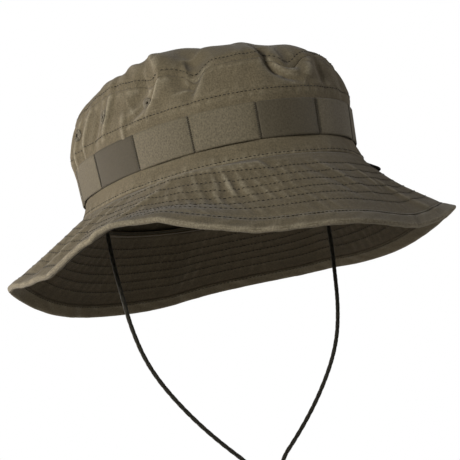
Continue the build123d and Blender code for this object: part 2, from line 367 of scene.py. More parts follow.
@dataclass(frozen=True)
class ClothFinish(Finish):
    """A woven cloth."""

    colour: Colour = OLIVE
    lighter: Colour = OLIVE_LIGHTER
    weave: Weave = Weave.PLAIN
    yarn_pitch: float = 0.42 * MM
    relief: float = 0.10 * MM
    sheen: float = 0.12
    drift: float = 0.35

    def shade(self, graph: Graph) -> None:
        """Weave the yarns, dye them and lighten them where they stand proud.

        Args:
            graph: The material's graph.
        """
        grain = graph.node("UVMap", uv_map="grain").outputs[0]
        twill = self.weave.value
        yarns = graph.group(EFFECTS.weave, {"Grain": grain, "Yarn Pitch": self.yarn_pitch, "Twill": twill})
        shade, height = yarns.outputs["Yarn Shade"], yarns.outputs["Height"]
        cloth = dyed(graph, self.colour, self.lighter, shade, height, self.drift)
        roughness = graph.math("MULTIPLY_ADD", cloth.outputs["Fading"], -0.12, 0.86)
        opaque(graph, cloth.outputs["Colour"], roughness, height, self.relief, self.sheen)


@dataclass(frozen=True)
class WebbingFinish(Finish):
    """Ribbed tape, woven of a slightly shiny yarn, with painted shade that makes some loops darker than
    others.
    """

    colour: Colour = (0.130, 0.108, 0.068)
    # The painted shade that the darker loops are mixed towards.
    painted_shade_tone: Colour = (0.030, 0.024, 0.015)
    rib_pitch: float = 0.55 * MM
    relief: float = 0.08 * MM
    sheen: float = 0.1
    drift: float = 0.2

    def shade(self, graph: Graph) -> None:
        """Weave the ribs and dye them.

        Args:
            graph: The material's graph.
        """
        grain = graph.node("UVMap", uv_map="grain").outputs[0]
        ribs = graph.group(EFFECTS.ribs, {"Grain": grain, "Rib Pitch": self.rib_pitch})
        shade, height = ribs.outputs["Yarn Shade"], ribs.outputs["Height"]
        tape = dyed(graph, self.colour, self.painted_shade_tone, shade, height, self.drift)
        roughness = graph.math("MULTIPLY_ADD", shade, 0.3, 0.5)
        opaque(graph, tape.outputs["Colour"], roughness, height, self.relief, self.sheen)


@dataclass(frozen=True)
class ThreadFinish(Finish):
    """Twisted thread or braided cord, with painted shade where it dives into the cloth, between its plies and
    between its strands.
    """

    colour: Colour
    # The painted shade that the thread takes where it dives in.
    painted_shade: Colour
    twist_pitch: float = 0.35 * MM
    roughness: float = 0.62
    relief: float = 0.03 * MM
    sheen: float = 0.15
    drift: float = 0.3

    def shade(self, graph: Graph) -> None:
        """Twist the plies and dye them.

        Args:
            graph: The material's graph.
        """
        parts = graph.node("SeparateXYZ", {0: graph.node("UVMap", uv_map="grain").outputs[0]})
        turns = graph.math("ADD", parts.outputs[0], parts.outputs[1])
        plies = graph.math("SINE", graph.math("MULTIPLY", turns, 2.0 * math.pi / self.twist_pitch))
        height = graph.math("MULTIPLY_ADD", plies, 0.5, 0.5)
        # Painted shade: darker in the plies' low places and where the points' share says the thread dives in.
        yarn = dyed(graph, self.colour, self.painted_shade, height, height, self.drift)
        opaque(graph, yarn.outputs["Colour"], self.roughness, height, self.relief, self.sheen)


@dataclass(frozen=True)
class MouldedFinish(Finish):
    """Grained plastic."""

    colour: Colour = (0.020, 0.019, 0.016)
    dust: Colour = (0.085, 0.078, 0.062)
    grain_size: float = 0.35 * MM
    relief: float = 0.02 * MM

    def shade(self, graph: Graph) -> None:
        """Mould the grain and leave a little dust in it.

        Args:
            graph: The material's graph.
        """
        inputs = {
            "Place": graph.node("TexCoord").outputs["Object"],
            "Grain Size": self.grain_size,
            "Colour": (*self.colour, 1.0),
            "Dust Colour": (*self.dust, 1.0),
        }
        out = graph.group(EFFECTS.grain, inputs).outputs
        opaque(graph, out["Colour"], out["Roughness"], out["Height"], self.relief, 0.0)


@dataclass(frozen=True)
class SpringWireFinish(Finish):
    """Drawn spring wire."""

    colour: Colour = (0.42, 0.42, 0.41)
    bright: Colour = (0.66, 0.66, 0.64)
    relief: float = 0.01 * MM
    roughness: float = 0.28

    def shade(self, graph: Graph) -> None:
        """Draw the wire, with fine scratches.

        Args:
            graph: The material's graph.
        """
        scratches = graph.noise(graph.node("TexCoord").outputs["Object"], 2500.0, 3.0)
        bump = graph.node("Bump", {"Height": scratches, "Distance": self.relief})
        colour = graph.blended(scratches, (*self.colour, 1.0), (*self.bright, 1.0))
        inputs = {"Base Color": colour, "Roughness": self.roughness, "Metallic": 1.0}
        shader = graph.node("BsdfPrincipled", inputs | {"Normal": bump.outputs[0]})
        graph.node("OutputMaterial", {0: shader.outputs[0]})


CROWN_CLOTH = ClothFinish("crown_ripstop", "crown_cloth")
BRIM_CLOTH = ClothFinish("brim_ripstop", "brim_cloth", colour=(0.112, 0.090, 0.054))
# Painted shade: the same ripstop as the brim's top, made darker because the brim's underside lies in shade.
SHADED_UNDERSIDE_CLOTH = ClothFinish("underside_ripstop_painted_shade", "brim_under_cloth", colour=(0.070, 0.054, 0.031))
HEM_CLOTH = ClothFinish("hem_ripstop", "binding_tape", colour=(0.116, 0.094, 0.057))
BAND_CLOTH = ClothFinish(
    "sweatband_twill", "sweatband_cloth", colour=(0.094, 0.078, 0.048), weave=Weave.TWILL, sheen=0.4
)
STIFFENER = ClothFinish(
    "woven_stiffener", "interlining", colour=(0.09, 0.078, 0.052), yarn_pitch=0.8 * MM
)
LABEL_CLOTH = ClothFinish("woven_label", "label", colour=(0.040, 0.036, 0.026), yarn_pitch=0.25 * MM)
TAPE = WebbingFinish("ribbed_webbing", "webbing")
SEWING_THREAD = ThreadFinish("sewing_thread", "thread", (0.030, 0.024, 0.014), (0.010, 0.008, 0.004))
BARTACK_THREAD = ThreadFinish("bartack_thread", "thread", (0.052, 0.042, 0.025), (0.010, 0.008, 0.005))
EYELET_THREAD = ThreadFinish("eyelet_thread", "thread", (0.17, 0.145, 0.1), (0.016, 0.012, 0.007))
CORD_BRAID = ThreadFinish(
    "braided_cord", "cord", (0.026, 0.023, 0.014), (0.007, 0.006, 0.004), twist_pitch=0.6 * MM, roughness=0.7
)
LOCK_PLASTIC = MouldedFinish("moulded_acetal", "lock_plastic")
SPRING_WIRE = SpringWireFinish("drawn_spring_wire", "spring_steel")


# ------------------------------------------------------------------------------------ mesh building


def add_piece(
    name: str,
    points: np.ndarray,
    faces: np.ndarray,
    finish: Finish,
    body: Body,
    replaces: tuple[str, ...] = (),
    grain: np.ndarray | None = None,
    rub: np.ndarray | None = None,
) -> bpy.types.Object:
    """Make a mesh piece, dress it and put it on a body.

    Args:
        name: The piece's name.
        points: Its points in millimetres, one row each.
        faces: Its four-sided faces, as rows of point numbers.
        finish: The finish that gives its material.
        body: The body that it rides on.
        replaces: The CAD nodes that it stands for.
        grain: Cloth coordinates in millimetres for each corner of each face.
        rub: Each point's share of the second colour, from 0 to 1: lighter where cloth stands proud, painted
            shade on threads, cords, eyelets and webbing loops.

    Returns:
        The new object.
    """
    mesh = bpy.data.meshes.new(name)
    mesh.from_pydata((points * MM).tolist(), [], faces.tolist())
    mesh.polygons.foreach_set("use_smooth", np.ones(len(faces), dtype=bool))
    layer = mesh.uv_layers.new(name="grain")
    if grain is None:
        grain = (points[:, :2])[faces]
    layer.uv.foreach_set("vector", (grain * MM).astype(np.float32).ravel())
    wear = mesh.attributes.new("rub", "FLOAT", "POINT")
    lightened_and_shaded = np.zeros(len(points)) if rub is None else rub
    wear.data.foreach_set("value", lightened_and_shaded.astype(np.float32))
    mesh.materials.append(finish.material())
    mesh.validate()
    made = bpy.data.objects.new(name, mesh)
    bpy.context.collection.objects.link(made)
    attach(made, body.value)
    if replaces:
        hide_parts(*replaces)
    log.info("%s: %d points, %d faces", name, len(points), len(faces))
    return made


def ring_lengths(girth: float, columns: int) -> tuple[np.ndarray, np.ndarray]:
    """Share a girth out among the columns of a ring of cloth.

    Args:
        girth: The length round the ring.
        columns: How many columns it has.

    Returns:
        The length at each column, as one row, and the same with the whole girth at its end.
    """
    whole = np.arange(columns + 1)[None, :] * girth / columns
    return whole[:, :-1], whole


def grid_faces(rows: int, columns: int, closed: bool) -> np.ndarray:
    """The four-sided faces of a grid of points, as point numbers.

    Args:
        rows: Rows of points.
        columns: Points in each row.
        closed: Whether the last column joins the first.

    Returns:
        An array of faces, a row of cells at a time.
    """
    row = np.arange(rows - 1)[:, None]
    column = np.arange(columns if closed else columns - 1)[None, :]
    following = (column + 1) % columns
    corners = (row, column), (row, following), (row + 1, following), (row + 1, column)
    return np.stack([r * columns + c + 0 * row for r, c in corners], axis=-1).reshape(-1, 4)


def closed_shell(
    outer: np.ndarray, inner: np.ndarray, faces: np.ndarray, grain: np.ndarray
) -> tuple[np.ndarray, np.ndarray, np.ndarray]:
    """Close two matching faces of cloth into one solid, with a wall along every free edge.

    Args:
        outer: Points of the outer face.
        inner: The points behind them.
        faces: The outer face's cells.
        grain: Cloth coordinates of each corner of each cell.

    Returns:
        The solid's points, faces and cloth coordinates.
    """
    count = len(outer)
    edges = np.stack([faces, np.roll(faces, -1, axis=1)], axis=-1).reshape(-1, 2)
    ends = np.stack([grain, np.roll(grain, -1, axis=1)], axis=-2).reshape(-1, 2, 2)
    keys = np.sort(edges, axis=1) @ np.array([count, 1])
    _, where, uses = np.unique(keys, return_index=True, return_counts=True)
    free = where[uses == 1]
    walls = np.stack([edges[free, 1], edges[free, 0], edges[free, 0] + count, edges[free, 1] + count], axis=1)
    wall_grain = np.stack([ends[free, 1], ends[free, 0], ends[free, 0], ends[free, 1]], axis=1)
    back = faces[:, ::-1] + count
    return (
        np.concatenate([outer, inner]),
        np.concatenate([faces, back, walls]),
        np.concatenate([grain, grain[:, ::-1], wall_grain]),
    )


def unit(vectors: np.ndarray) -> np.ndarray:
    """Vectors at length one."""
    return vectors / np.maximum(np.linalg.norm(vectors, axis=-1, keepdims=True), 1e-9)


# ----------------------------------------------------------------------------------- the hat's form


@dataclass(frozen=True)
class Crease:
    """A fold or a dent that runs along a line on the cloth.

    Its ends are cloth coordinates in millimetres, and its height is negative where it is a hollow. Its
    slack is how many times wider its right bank is than its left one, looking from start to end.
    """

    start: tuple[float, float]
    end: tuple[float, float]
    height: float
    width: float
    bow: float = 0.0
    slack: float = 1.0

    def lift(self, across: np.ndarray, up: np.ndarray, girth: float = 0.0) -> np.ndarray:
        """How far it moves each point of the cloth.

        Args:
            across: First cloth coordinate.
            up: Second cloth coordinate.
            girth: The length after which the first coordinate repeats, or 0.

        Returns:
            Distances along the cloth's normal, in millimetres.
        """
        run = np.subtract(self.end, self.start)
        length = math.hypot(*run)
        along = run / length
        side = across - self.start[0]
        if girth:
            side = (side - along[0] * length / 2 + girth / 2) % girth - girth / 2 + along[0] * length / 2
        rise = up - self.start[1]
        share = (side * along[0] + rise * along[1]) / length
        apart = rise * along[0] - side * along[1] - self.bow * 4 * share * (1 - share)
        within = np.clip(share, 0, 1)
        over = (share - within) * length
        fade = np.sqrt(np.sin(math.pi * (0.06 + 0.88 * within)))
        width = self.width * np.where(apart < 0, self.slack, 1.0)
        return self.height * fade * np.exp(-((apart / width) ** 2) - (over / (1.6 * self.width)) ** 2)


def ripple(
    across: np.ndarray,
    up: np.ndarray,
    length: float,
    seed: int,
    girth: float = 0.0,
    heading: float = 0.0,
    spread: float = math.pi,
    waves: int = 14,
) -> np.ndarray:
    """Smooth uneven ripples, about one high at their highest, which repeat after the girth.

    Args:
        across: First cloth coordinate.
        up: Second cloth coordinate.
        length: The usual length of a wave.
        seed: Chooses one pattern.
        girth: The length after which the first coordinate repeats, or 0.
        heading: The direction in which most waves travel, in radians.
        spread: How far either side of the heading they may travel.
        waves: How many are added up.

    Returns:
        The height at each point.
    """
    draw = np.random.default_rng(seed)
    total = np.zeros(np.broadcast(across, up).shape)
    for _ in range(waves):
        turn = heading + spread * draw.uniform(-1, 1)
        rate = 2 * math.pi / (length * draw.uniform(0.7, 1.6))
        along, rise = rate * math.cos(turn), rate * math.sin(turn)
        if girth:
            along = 2 * math.pi / girth * round(along * girth / (2 * math.pi))
        total = total + np.sin(along * across + rise * up + draw.uniform(0, 2 * math.pi))
    return total / math.sqrt(waves) / 1.4


@dataclass(frozen=True)
class HatPattern:
    """The hat's measures in millimetres, and the head oval that everything is laid out round."""

    half_length: float = 109.5
    half_width: float = 91.5
    side_radius: float = 150.04
    widest_behind_middle: float = 8.0
    webbing_bottom: float = 13.0
    webbing_width: float = 25.0
    stitch_row: float = 46.0
    tip_seam: float = 69.0
    dome_rise: float = 20.0
    out_at_seam: float = 3.5
    out_at_webbing_bottom: float = -1.5
    out_at_webbing_top: float = 0.5
    out_at_stitch_row: float = 2.0
    out_at_tip_seam: float = -4.0
    webbing_thickness: float = 1.5
    brim_width: float = 70.0
    seam_allowance: float = 7.0
    hem_width: float = 11.0
    brim_droop: tuple[float, ...] = (53, 58, 38, 44, 38, 38, 47, 46, 32, 39, 30, 50)
    loops: int = 14
    first_bartack: float = 14.5
    seam_sags: tuple[tuple[float, float, float], ...] = (
        (2.0, 10.0, 10.0),
        (-68.0, 6.5, 8.0),
        (-90.0, -1.5, 7.0),
        (-103.0, 3.0, 7.0),
        (-146.0, -4.5, 30.0),
        (64.0, 3.0, 14.0),
        (150.0, 4.0, 18.0),
        (236.0, -3.0, 30.0),
        (300.0, 4.5, 16.0),
    )

    @cached_property
    def arcs(self) -> tuple[float, float, float, float]:
        """The front and back arc radii, and the azimuths where they meet the side arcs.

        Returns:
            Two radii in millimetres and two azimuths in radians.
        """

        def end_radius(reach: float) -> float:
            """The radius of an end arc that reaches this far from the widest place."""
            radius, half = self.side_radius, self.half_width
            return (2 * radius * half - half**2 - reach**2) / (2 * (radius - reach))

        front = end_radius(self.half_length + self.widest_behind_middle)
        back = end_radius(self.half_length - self.widest_behind_middle)
        centre = self.side_radius - self.half_width
        front_end = math.atan2(centre, self.widest_behind_middle + self.half_length - front)
        back_end = math.pi - math.atan2(centre, self.half_length - back - self.widest_behind_middle)
        return front, back, front_end, back_end

    @cached_property
    def _stations(self) -> tuple[np.ndarray, np.ndarray]:
        """Lengths round the oval from its back, and the azimuths there.

        Returns:
            The lengths in millimetres and the azimuths in radians.
        """
        front, back, front_end, back_end = self.arcs
        turns = np.array([-math.pi, -back_end, -front_end, front_end, back_end, math.pi])
        radii = np.array([back, self.side_radius, front, self.side_radius, back])
        return np.concatenate([[0.0], np.cumsum(np.diff(turns) * radii)]), turns

    @property
    def girth(self) -> float:
        """The length round the oval."""
        return float(self._stations[0][-1])

    def azimuth(self, across: np.ndarray) -> np.ndarray:
        """The azimuth in radians at a length round the oval from the front, towards the wearer's left.

        Args:
            across: Lengths round the oval from the front, in millimetres.

        Returns:
            The azimuths.
        """
        lengths, turns = self._stations
        place = (np.asarray(across) + self.girth / 2) % self.girth
        return np.interp(place, lengths, turns)

    def length_at(self, degrees: float) -> float:
        """The length round the oval from the front to an azimuth."""
        lengths, turns = self._stations
        return float(np.interp(math.radians(degrees), turns, lengths)) - self.girth / 2

    def oval(self, across: np.ndarray, out: np.ndarray, z: np.ndarray) -> np.ndarray:
        """Points that stand out of the oval, at heights z.

        Args:
            across: Lengths round the oval from the front, in millimetres.
            out: How far out of the oval each point stands.
            z: The heights.

        Returns:
            The points, in millimetres.
        """
        front, back, front_end, back_end = self.arcs
        turn = self.azimuth(across)
        ahead, behind = np.abs(turn) < front_end, np.abs(turn) > back_end
        centre_x = np.where(ahead | behind, 0.0, np.sign(-turn) * (self.side_radius - self.half_width))
        centre_y = np.where(ahead, front - self.half_length, self.widest_behind_middle)
        centre_y = np.where(behind, self.half_length - back, centre_y)
        radius = np.where(ahead, front, np.where(behind, back, self.side_radius)) + out
        points = centre_x + radius * np.sin(turn), centre_y - radius * np.cos(turn), z + 0 * turn
        return np.stack(np.broadcast_arrays(*points), axis=-1)

    def sag(self, across: np.ndarray) -> np.ndarray:
        """How far the tip seam has sunk below its height, at each length round the oval.

        Args:
            across: Lengths round the oval from the front, in millimetres.

        Returns:
            Depths in millimetres, negative where the seam stands up.
        """
        total = 0.0
        for place, depth, width in self.seam_sags:
            apart = (across - place + self.girth / 2) % self.girth - self.girth / 2
            total = total + depth * np.exp(-((apart / width) ** 2))
        return total

    def droop(self, across: np.ndarray) -> np.ndarray:
        """The brim's fall below level in radians, smooth between the named values.

        Args:
            across: Lengths round the oval from the front, in millimetres.

        Returns:
            The angles.
        """
        values = np.radians(self.brim_droop)
        place = np.degrees(self.azimuth(across)) % 360 / (360 / len(values))
        index, part = np.floor(place).astype(int), place % 1
        before, start, end, after = (values[(index + k) % len(values)] for k in (-1, 0, 1, 2))
        rise, fall = (end - before) / 2, (after - start) / 2
        bend = (3 * (end - start) - 2 * rise - fall) * part**2
        return start + rise * part + bend + (2 * (start - end) + rise + fall) * part**3


class ClothSurface:
    """A face of the hat: a smooth base, and the relief that the worn cloth has on it."""

    def __init__(self, pattern: HatPattern) -> None:
        """Keep the pattern that the surface is drawn from."""
        self.pattern = pattern

    def base(self, across: np.ndarray, up: np.ndarray) -> np.ndarray:
        """Points of the smooth base."""
        raise NotImplementedError

    def relief(self, across: np.ndarray, up: np.ndarray) -> np.ndarray:
        """How far the cloth stands out of its base."""
        raise NotImplementedError

    def facing(self, across: np.ndarray, up: np.ndarray) -> np.ndarray:
        """The base's normals.

        Args:
            across: Lengths round the oval from the front, in millimetres.
            up: Second cloth coordinates, which each surface names.

        Returns:
            Normals of length one.
        """
        step = 0.4
        sideways = self.base(across + step, up) - self.base(across - step, up)
        rising = self.base(across, up + step) - self.base(across, up - step)
        return unit(np.cross(sideways, rising))

    def point(self, across: np.ndarray, up: np.ndarray, lift: np.ndarray | float = 0.0) -> np.ndarray:
        """Points that stand a distance off the cloth.

        Args:
            across: Lengths round the oval from the front, in millimetres.
            up: Second cloth coordinates, which each surface names.
            lift: How far off the cloth each point stands.

        Returns:
            The points, in millimetres.
        """
        across, up = np.broadcast_arrays(np.asarray(across, float), np.asarray(up, float))
        distance = self.relief(across, up) + lift
        return self.base(across, up) + self.facing(across, up) * distance[..., None]

    def cloth_coordinates(self, across: np.ndarray, up: np.ndarray) -> np.ndarray:
        """Where each point lies on the cut cloth."""
        return np.stack(np.broadcast_arrays(across, up), axis=-1)

    def rub(self, across: np.ndarray, up: np.ndarray) -> np.ndarray:
        """How much lighter the cloth is painted where it stands proud, from 0 to 1.

        Args:
            across: Lengths round the oval from the front, in millimetres.
            up: Second cloth coordinates, which each surface names.

        Returns:
            The lightening at each point.
        """
        step = 2.2
        middle = self.relief(across, up)
        ring = sum(
            self.relief(across + a * step, up + b * step) for a, b in ((1, 0), (-1, 0), (0, 1), (0, -1))
        )
        return np.clip((middle - ring / 4) * 1.6, 0.0, 1.0)


class CrownSurface(ClothSurface):
    """The crown's side, by length round the oval and height above the brim seam."""

    creases = (
        Crease((-68, 73), (-73, 53), -5.5, 4.5),
        Crease((-82, 73), (-77, 58), -6.0, 7.0),
        Crease((-92, 72), (-101, 57), 3.4, 7.0, 0.0, 0.3),
        Crease((-107, 70), (-124, 58), -5.0, 5.5, 2.0),
        Crease((-102, 61), (-119, 51), -3.0, 3.5),
        Crease((-112, 52), (-128, 48), -1.2, 3.0),
        Crease((-130, 56), (-131, 24), 1.4, 2.4),
        Crease((-141, 69), (-150, 46), 2.4, 3.0),
        Crease((-157, 64), (-166, 44), -2.4, 4.0),
        Crease((-168, 68), (-183, 42), 2.8, 3.5),
        Crease((-180, 60), (-188, 36), -2.2, 3.0),
        Crease((-189, 68), (-201, 30), 2.8, 3.0),
        Crease((-205, 58), (-210, 36), -2.0, 3.0),
        Crease((-212, 66), (-222, 24), 2.4, 4.0),
        Crease((-15, 72), (-7, 57), -5.5, 4.5, -1.5),
        Crease((-7, 57), (8, 51), -2.6, 4.0),
        Crease((3, 70), (2, 60), 2.2, 5.0),
        Crease((18, 64), (10, 54), 3.4, 5.0),
        Crease((30, 68), (26, 48), -2.2, 4.0),
        Crease((44, 64), (40, 48), 1.2, 5.0),
        Crease((60, 66), (52, 44), -1.4, 5.0),
        Crease((-40, 8), (-12, 6), -0.9, 4.0),
        Crease((-110, 7), (-80, 9), -0.9, 3.5),
        Crease((-76, 11), (-52, 7), -0.8, 3.0),
        Crease((120, 66), (132, 50), -2.6, 6.0),
        Crease((160, 68), (156, 52), 2.4, 5.0),
        Crease((232, 66), (240, 48), -2.6, 7.0),
        Crease((296, 66), (304, 48), -3.0, 7.0),
    )

    def out(self, up: np.ndarray) -> np.ndarray:
        """How far the cloth stands out of the oval at each height, with its corners eased.

        Args:
            up: Heights above the brim seam.

        Returns:
            Distances in millimetres.
        """
        p = self.pattern
        heights = [0.0, p.webbing_bottom, p.webbing_bottom + p.webbing_width, p.stitch_row, p.tip_seam]
        outs = [p.out_at_seam, p.out_at_webbing_bottom, p.out_at_webbing_top]
        outs += [p.out_at_stitch_row, p.out_at_tip_seam]
        offsets = (-2.4, -1.2, 0.0, 1.2, 2.4)
        return sum(np.interp(up + offset, heights, outs) for offset in offsets) / len(offsets)

    def base(self, across: np.ndarray, up: np.ndarray) -> np.ndarray:
        """Points of the crown side, which buckles out a little where the seam above it has sunk.

        Args:
            across: Lengths round the oval from the front, in millimetres.
            up: Heights above the brim seam.

        Returns:
            The points, in millimetres.
        """
        p = self.pattern
        share = np.clip((up - p.stitch_row) / (p.tip_seam - p.stitch_row), 0.0, 1.0)
        sag = p.sag(across)
        buckle = 0.25 * np.maximum(sag, 0.0) * np.sin(math.pi * share)
        return p.oval(across, self.out(up) + buckle, up - sag * share**1.5)

    def relief(self, across: np.ndarray, up: np.ndarray) -> np.ndarray:
        """Folds, the pinch along each stitched row, and the slack between them.

        Args:
            across: Lengths round the oval from the front, in millimetres.
            up: Heights above the brim seam.

        Returns:
            How far each point stands out of the base, in millimetres.
        """
        p = self.pattern
        total = 0.0
        for crease in self.creases:
            total = total + crease.lift(across, up, p.girth)
        under_tape = 1 - 0.8 * np.exp(-(((up - p.webbing_bottom - p.webbing_width / 2) / 14) ** 4))
        total = total + 0.7 * ripple(across, up * 0.45, 52, 3, p.girth) * under_tape
        total = total + 0.25 * ripple(across, up * 0.5, 17, 5, p.girth) * under_tape
        for row, depth in ((p.stitch_row, 0.3), (p.tip_seam, 0.6), (2.2, 0.2)):
            pinch = np.exp(-(((up - row) / 1.5) ** 2))
            pucker = np.exp(-(((up - row) / 4.5) ** 2)) * ripple(across, up, 7.5, 11, p.girth, 0.0, 0.5)
            total = total - depth * pinch + 0.16 * pucker
        tucked = np.clip(1 - up / 1.6, 0, 1) ** 2
        return total - 1.1 * tucked


class WebbingSurface(CrownSurface):
    """The webbing's outer face: it bows out between bartacks."""

    def out(self, up: np.ndarray) -> np.ndarray:
        """How far the tape's face stands out of the oval.

        Args:
            up: Heights above the brim seam.

        Returns:
            Distances in millimetres.
        """
        p = self.pattern
        share = (up - p.webbing_bottom) / p.webbing_width
        return share * (p.out_at_webbing_top + p.webbing_thickness) - 0.45 - 0.25 * share

    def panel(self, across: np.ndarray) -> tuple[np.ndarray, np.ndarray]:
        """Which loop each point is on, and how far across it, from 0 to 1.

        Args:
            across: Lengths round the oval from the front, in millimetres.

        Returns:
            The loops' numbers and the shares.
        """
        place = (across - self.pattern.first_bartack) / (self.pattern.girth / self.pattern.loops)
        return np.floor(place).astype(int) % self.pattern.loops, place % 1

    def relief(self, across: np.ndarray, up: np.ndarray) -> np.ndarray:
        """The crown's folds, dulled, with each loop's own bow and tilt.

        Args:
            across: Lengths round the oval from the front, in millimetres.
            up: Heights above the brim seam.

        Returns:
            How far each point stands out of the base, in millimetres.
        """
        p = self.pattern
        index, share = self.panel(across)
        draw = np.random.default_rng(21)
        bow = draw.uniform(0.7, 1.7, p.loops)[index]
        tilt = draw.uniform(-0.5, 0.5, p.loops)[index]
        lean = draw.uniform(-0.8, 1.2, p.loops)[index]
        arch = 1 - np.abs(2 * share - 1) ** 2.6
        height = (up - p.webbing_bottom) / p.webbing_width - 0.5
        ends = np.minimum(share, 1 - share) * p.girth / p.loops
        pressed = -0.35 * np.exp(-((ends / 1.3) ** 2))
        return 0.1 + pressed + arch * (bow + tilt * (2 * share - 1) + lean * height) * 0.7


class TipSurface(ClothSurface):
    """The crown's top, by length round the oval and share of the way out from its middle."""

    centre_y = 2.0
    fullness = (4.0, 0.55)
    reach = 90.0
    stitch_inset = 1.6
    creases = (
        Crease((-54, -24), (-34, -58), 8.0, 22.0),
        Crease((-80, -8), (-62, -62), 5.0, 12.0),
        Crease((-20, -70), (-4, -70), 2.0, 14.0),
        Crease((-9, -88), (-14, -106), -6.5, 5.0),
        Crease((10, -70), (40, -60), -3.0, 18.0),
        Crease((24, -98), (46, -84), -3.0, 10.0),
        Crease((-54, -86), (-50, -66), -8.0, 8.0),
        Crease((-69, -62), (-60, -34), 3.0, 3.0, 0.0, 2.0),
        Crease((-80, -40), (-66, 4), -1.2, 2.6),
        Crease((-74, -40), (-60, 0), 1.8, 4.0),
        Crease((-84, -14), (-70, 30), 2.6, 7.0, -3.0),
        Crease((-80, 14), (-62, 46), 1.6, 9.0),
        Crease((-78, 40), (-40, 70), 3.6, 10.0),
        Crease((-30, 20), (24, 40), 2.4, 12.0),
        Crease((40, 16), (62, -28), -3.6, 9.0),
        Crease((66, 30), (20, 78), 3.0, 8.0),
        Crease((-20, 96), (6, 60), -3.4, 8.0),
        Crease((40, 84), (52, 60), -2.6, 6.0),
        Crease((78, -20), (50, -40), 2.6, 7.0),
    )

    def __init__(self, pattern: HatPattern) -> None:
        """Lay out the side band that the top is sewn to."""
        super().__init__(pattern)
        self.side = CrownSurface(pattern)

    def base(self, across: np.ndarray, up: np.ndarray) -> np.ndarray:
        """Points of the dome, whose rim follows the side band's own edge.

        Args:
            across: Lengths round the oval from the front, in millimetres.
            up: Shares of the way out from the dome's middle to its rim.

        Returns:
            The points, in millimetres.
        """
        p = self.pattern
        share = np.clip(up, 0.002, 1.0)
        across, share = np.broadcast_arrays(across, share)
        even = p.oval(across, p.out_at_tip_seam, p.tip_seam)
        stray = self.side.point(across, np.full(across.shape, p.tip_seam)) - even
        power, bend = self.fullness
        height = p.tip_seam + p.dome_rise * (1 - share**power + 1e-9) ** bend
        x = even[..., 0] * share
        y = self.centre_y + (even[..., 1] - self.centre_y) * share
        return np.stack([x, y, height], axis=-1) + stray * (share**9)[..., None]

    def facing(self, across: np.ndarray, up: np.ndarray) -> np.ndarray:
        """The dome's normals.

        Args:
            across: Lengths round the oval from the front, in millimetres.
            up: Shares of the way out from the dome's middle to its rim.

        Returns:
            Normals of length one.
        """
        step = 0.004
        inside = np.clip(up, 2 * step, 1.0)
        sideways = self.base(across + 0.6, inside) - self.base(across - 0.6, inside)
        outwards = self.base(across, inside) - self.base(across, inside - step)
        return unit(np.cross(outwards, sideways))

    def relief(self, across: np.ndarray, up: np.ndarray) -> np.ndarray:
        """Folds of the slack top, smaller wrinkles, and puckers where it is gathered into the seam.

        Args:
            across: Lengths round the oval from the front, in millimetres.
            up: Shares of the way out from the dome's middle to its rim.

        Returns:
            How far each point stands out of the base, in millimetres.
        """
        p = self.pattern
        at = p.oval(across, p.out_at_tip_seam, p.tip_seam)
        x, y = at[..., 0] * up, self.centre_y + (at[..., 1] - self.centre_y) * up
        edge = np.clip((1 - up) * self.reach, 0, None)
        total = 0.9 * ripple(x, y, 58, 8) + 0.45 * ripple(x, y, 21, 9)
        for crease in self.creases:
            total = total + crease.lift(x, y)
        gathers = ripple(across, 0 * up, 12, 17, p.girth, 0.0, 0.3)
        gathers = gathers * np.exp(-((edge / 11) ** 2)) * 0.4
        pinch = -0.35 * np.exp(-(((edge - self.stitch_inset) / 1.0) ** 2))
        return total * (1 - np.exp(-edge / 7)) + (gathers + pinch) * np.clip(edge / 1.5, 0, 1)

    def cloth_coordinates(self, across: np.ndarray, up: np.ndarray) -> np.ndarray:
        """The dome is cut flat, so its cloth coordinates are its plan."""
        return self.base(across, up)[..., :2]

    def rub(self, across: np.ndarray, up: np.ndarray) -> np.ndarray:
        """How much lighter the top is painted where it stands proud.

        Args:
            across: Lengths round the oval from the front, in millimetres.
            up: Shares of the way out from the dome's middle to its rim.

        Returns:
            The lightening at each point.
        """
        middle = self.relief(across, up)
        ring = self.relief(across + 3, up) + self.relief(across - 3, up)
        ring = ring + self.relief(across, np.clip(up + 0.03, 0, 1)) + self.relief(across, up - 0.03)
        return np.clip((middle - ring / 4) * 0.9, 0.0, 1.0)


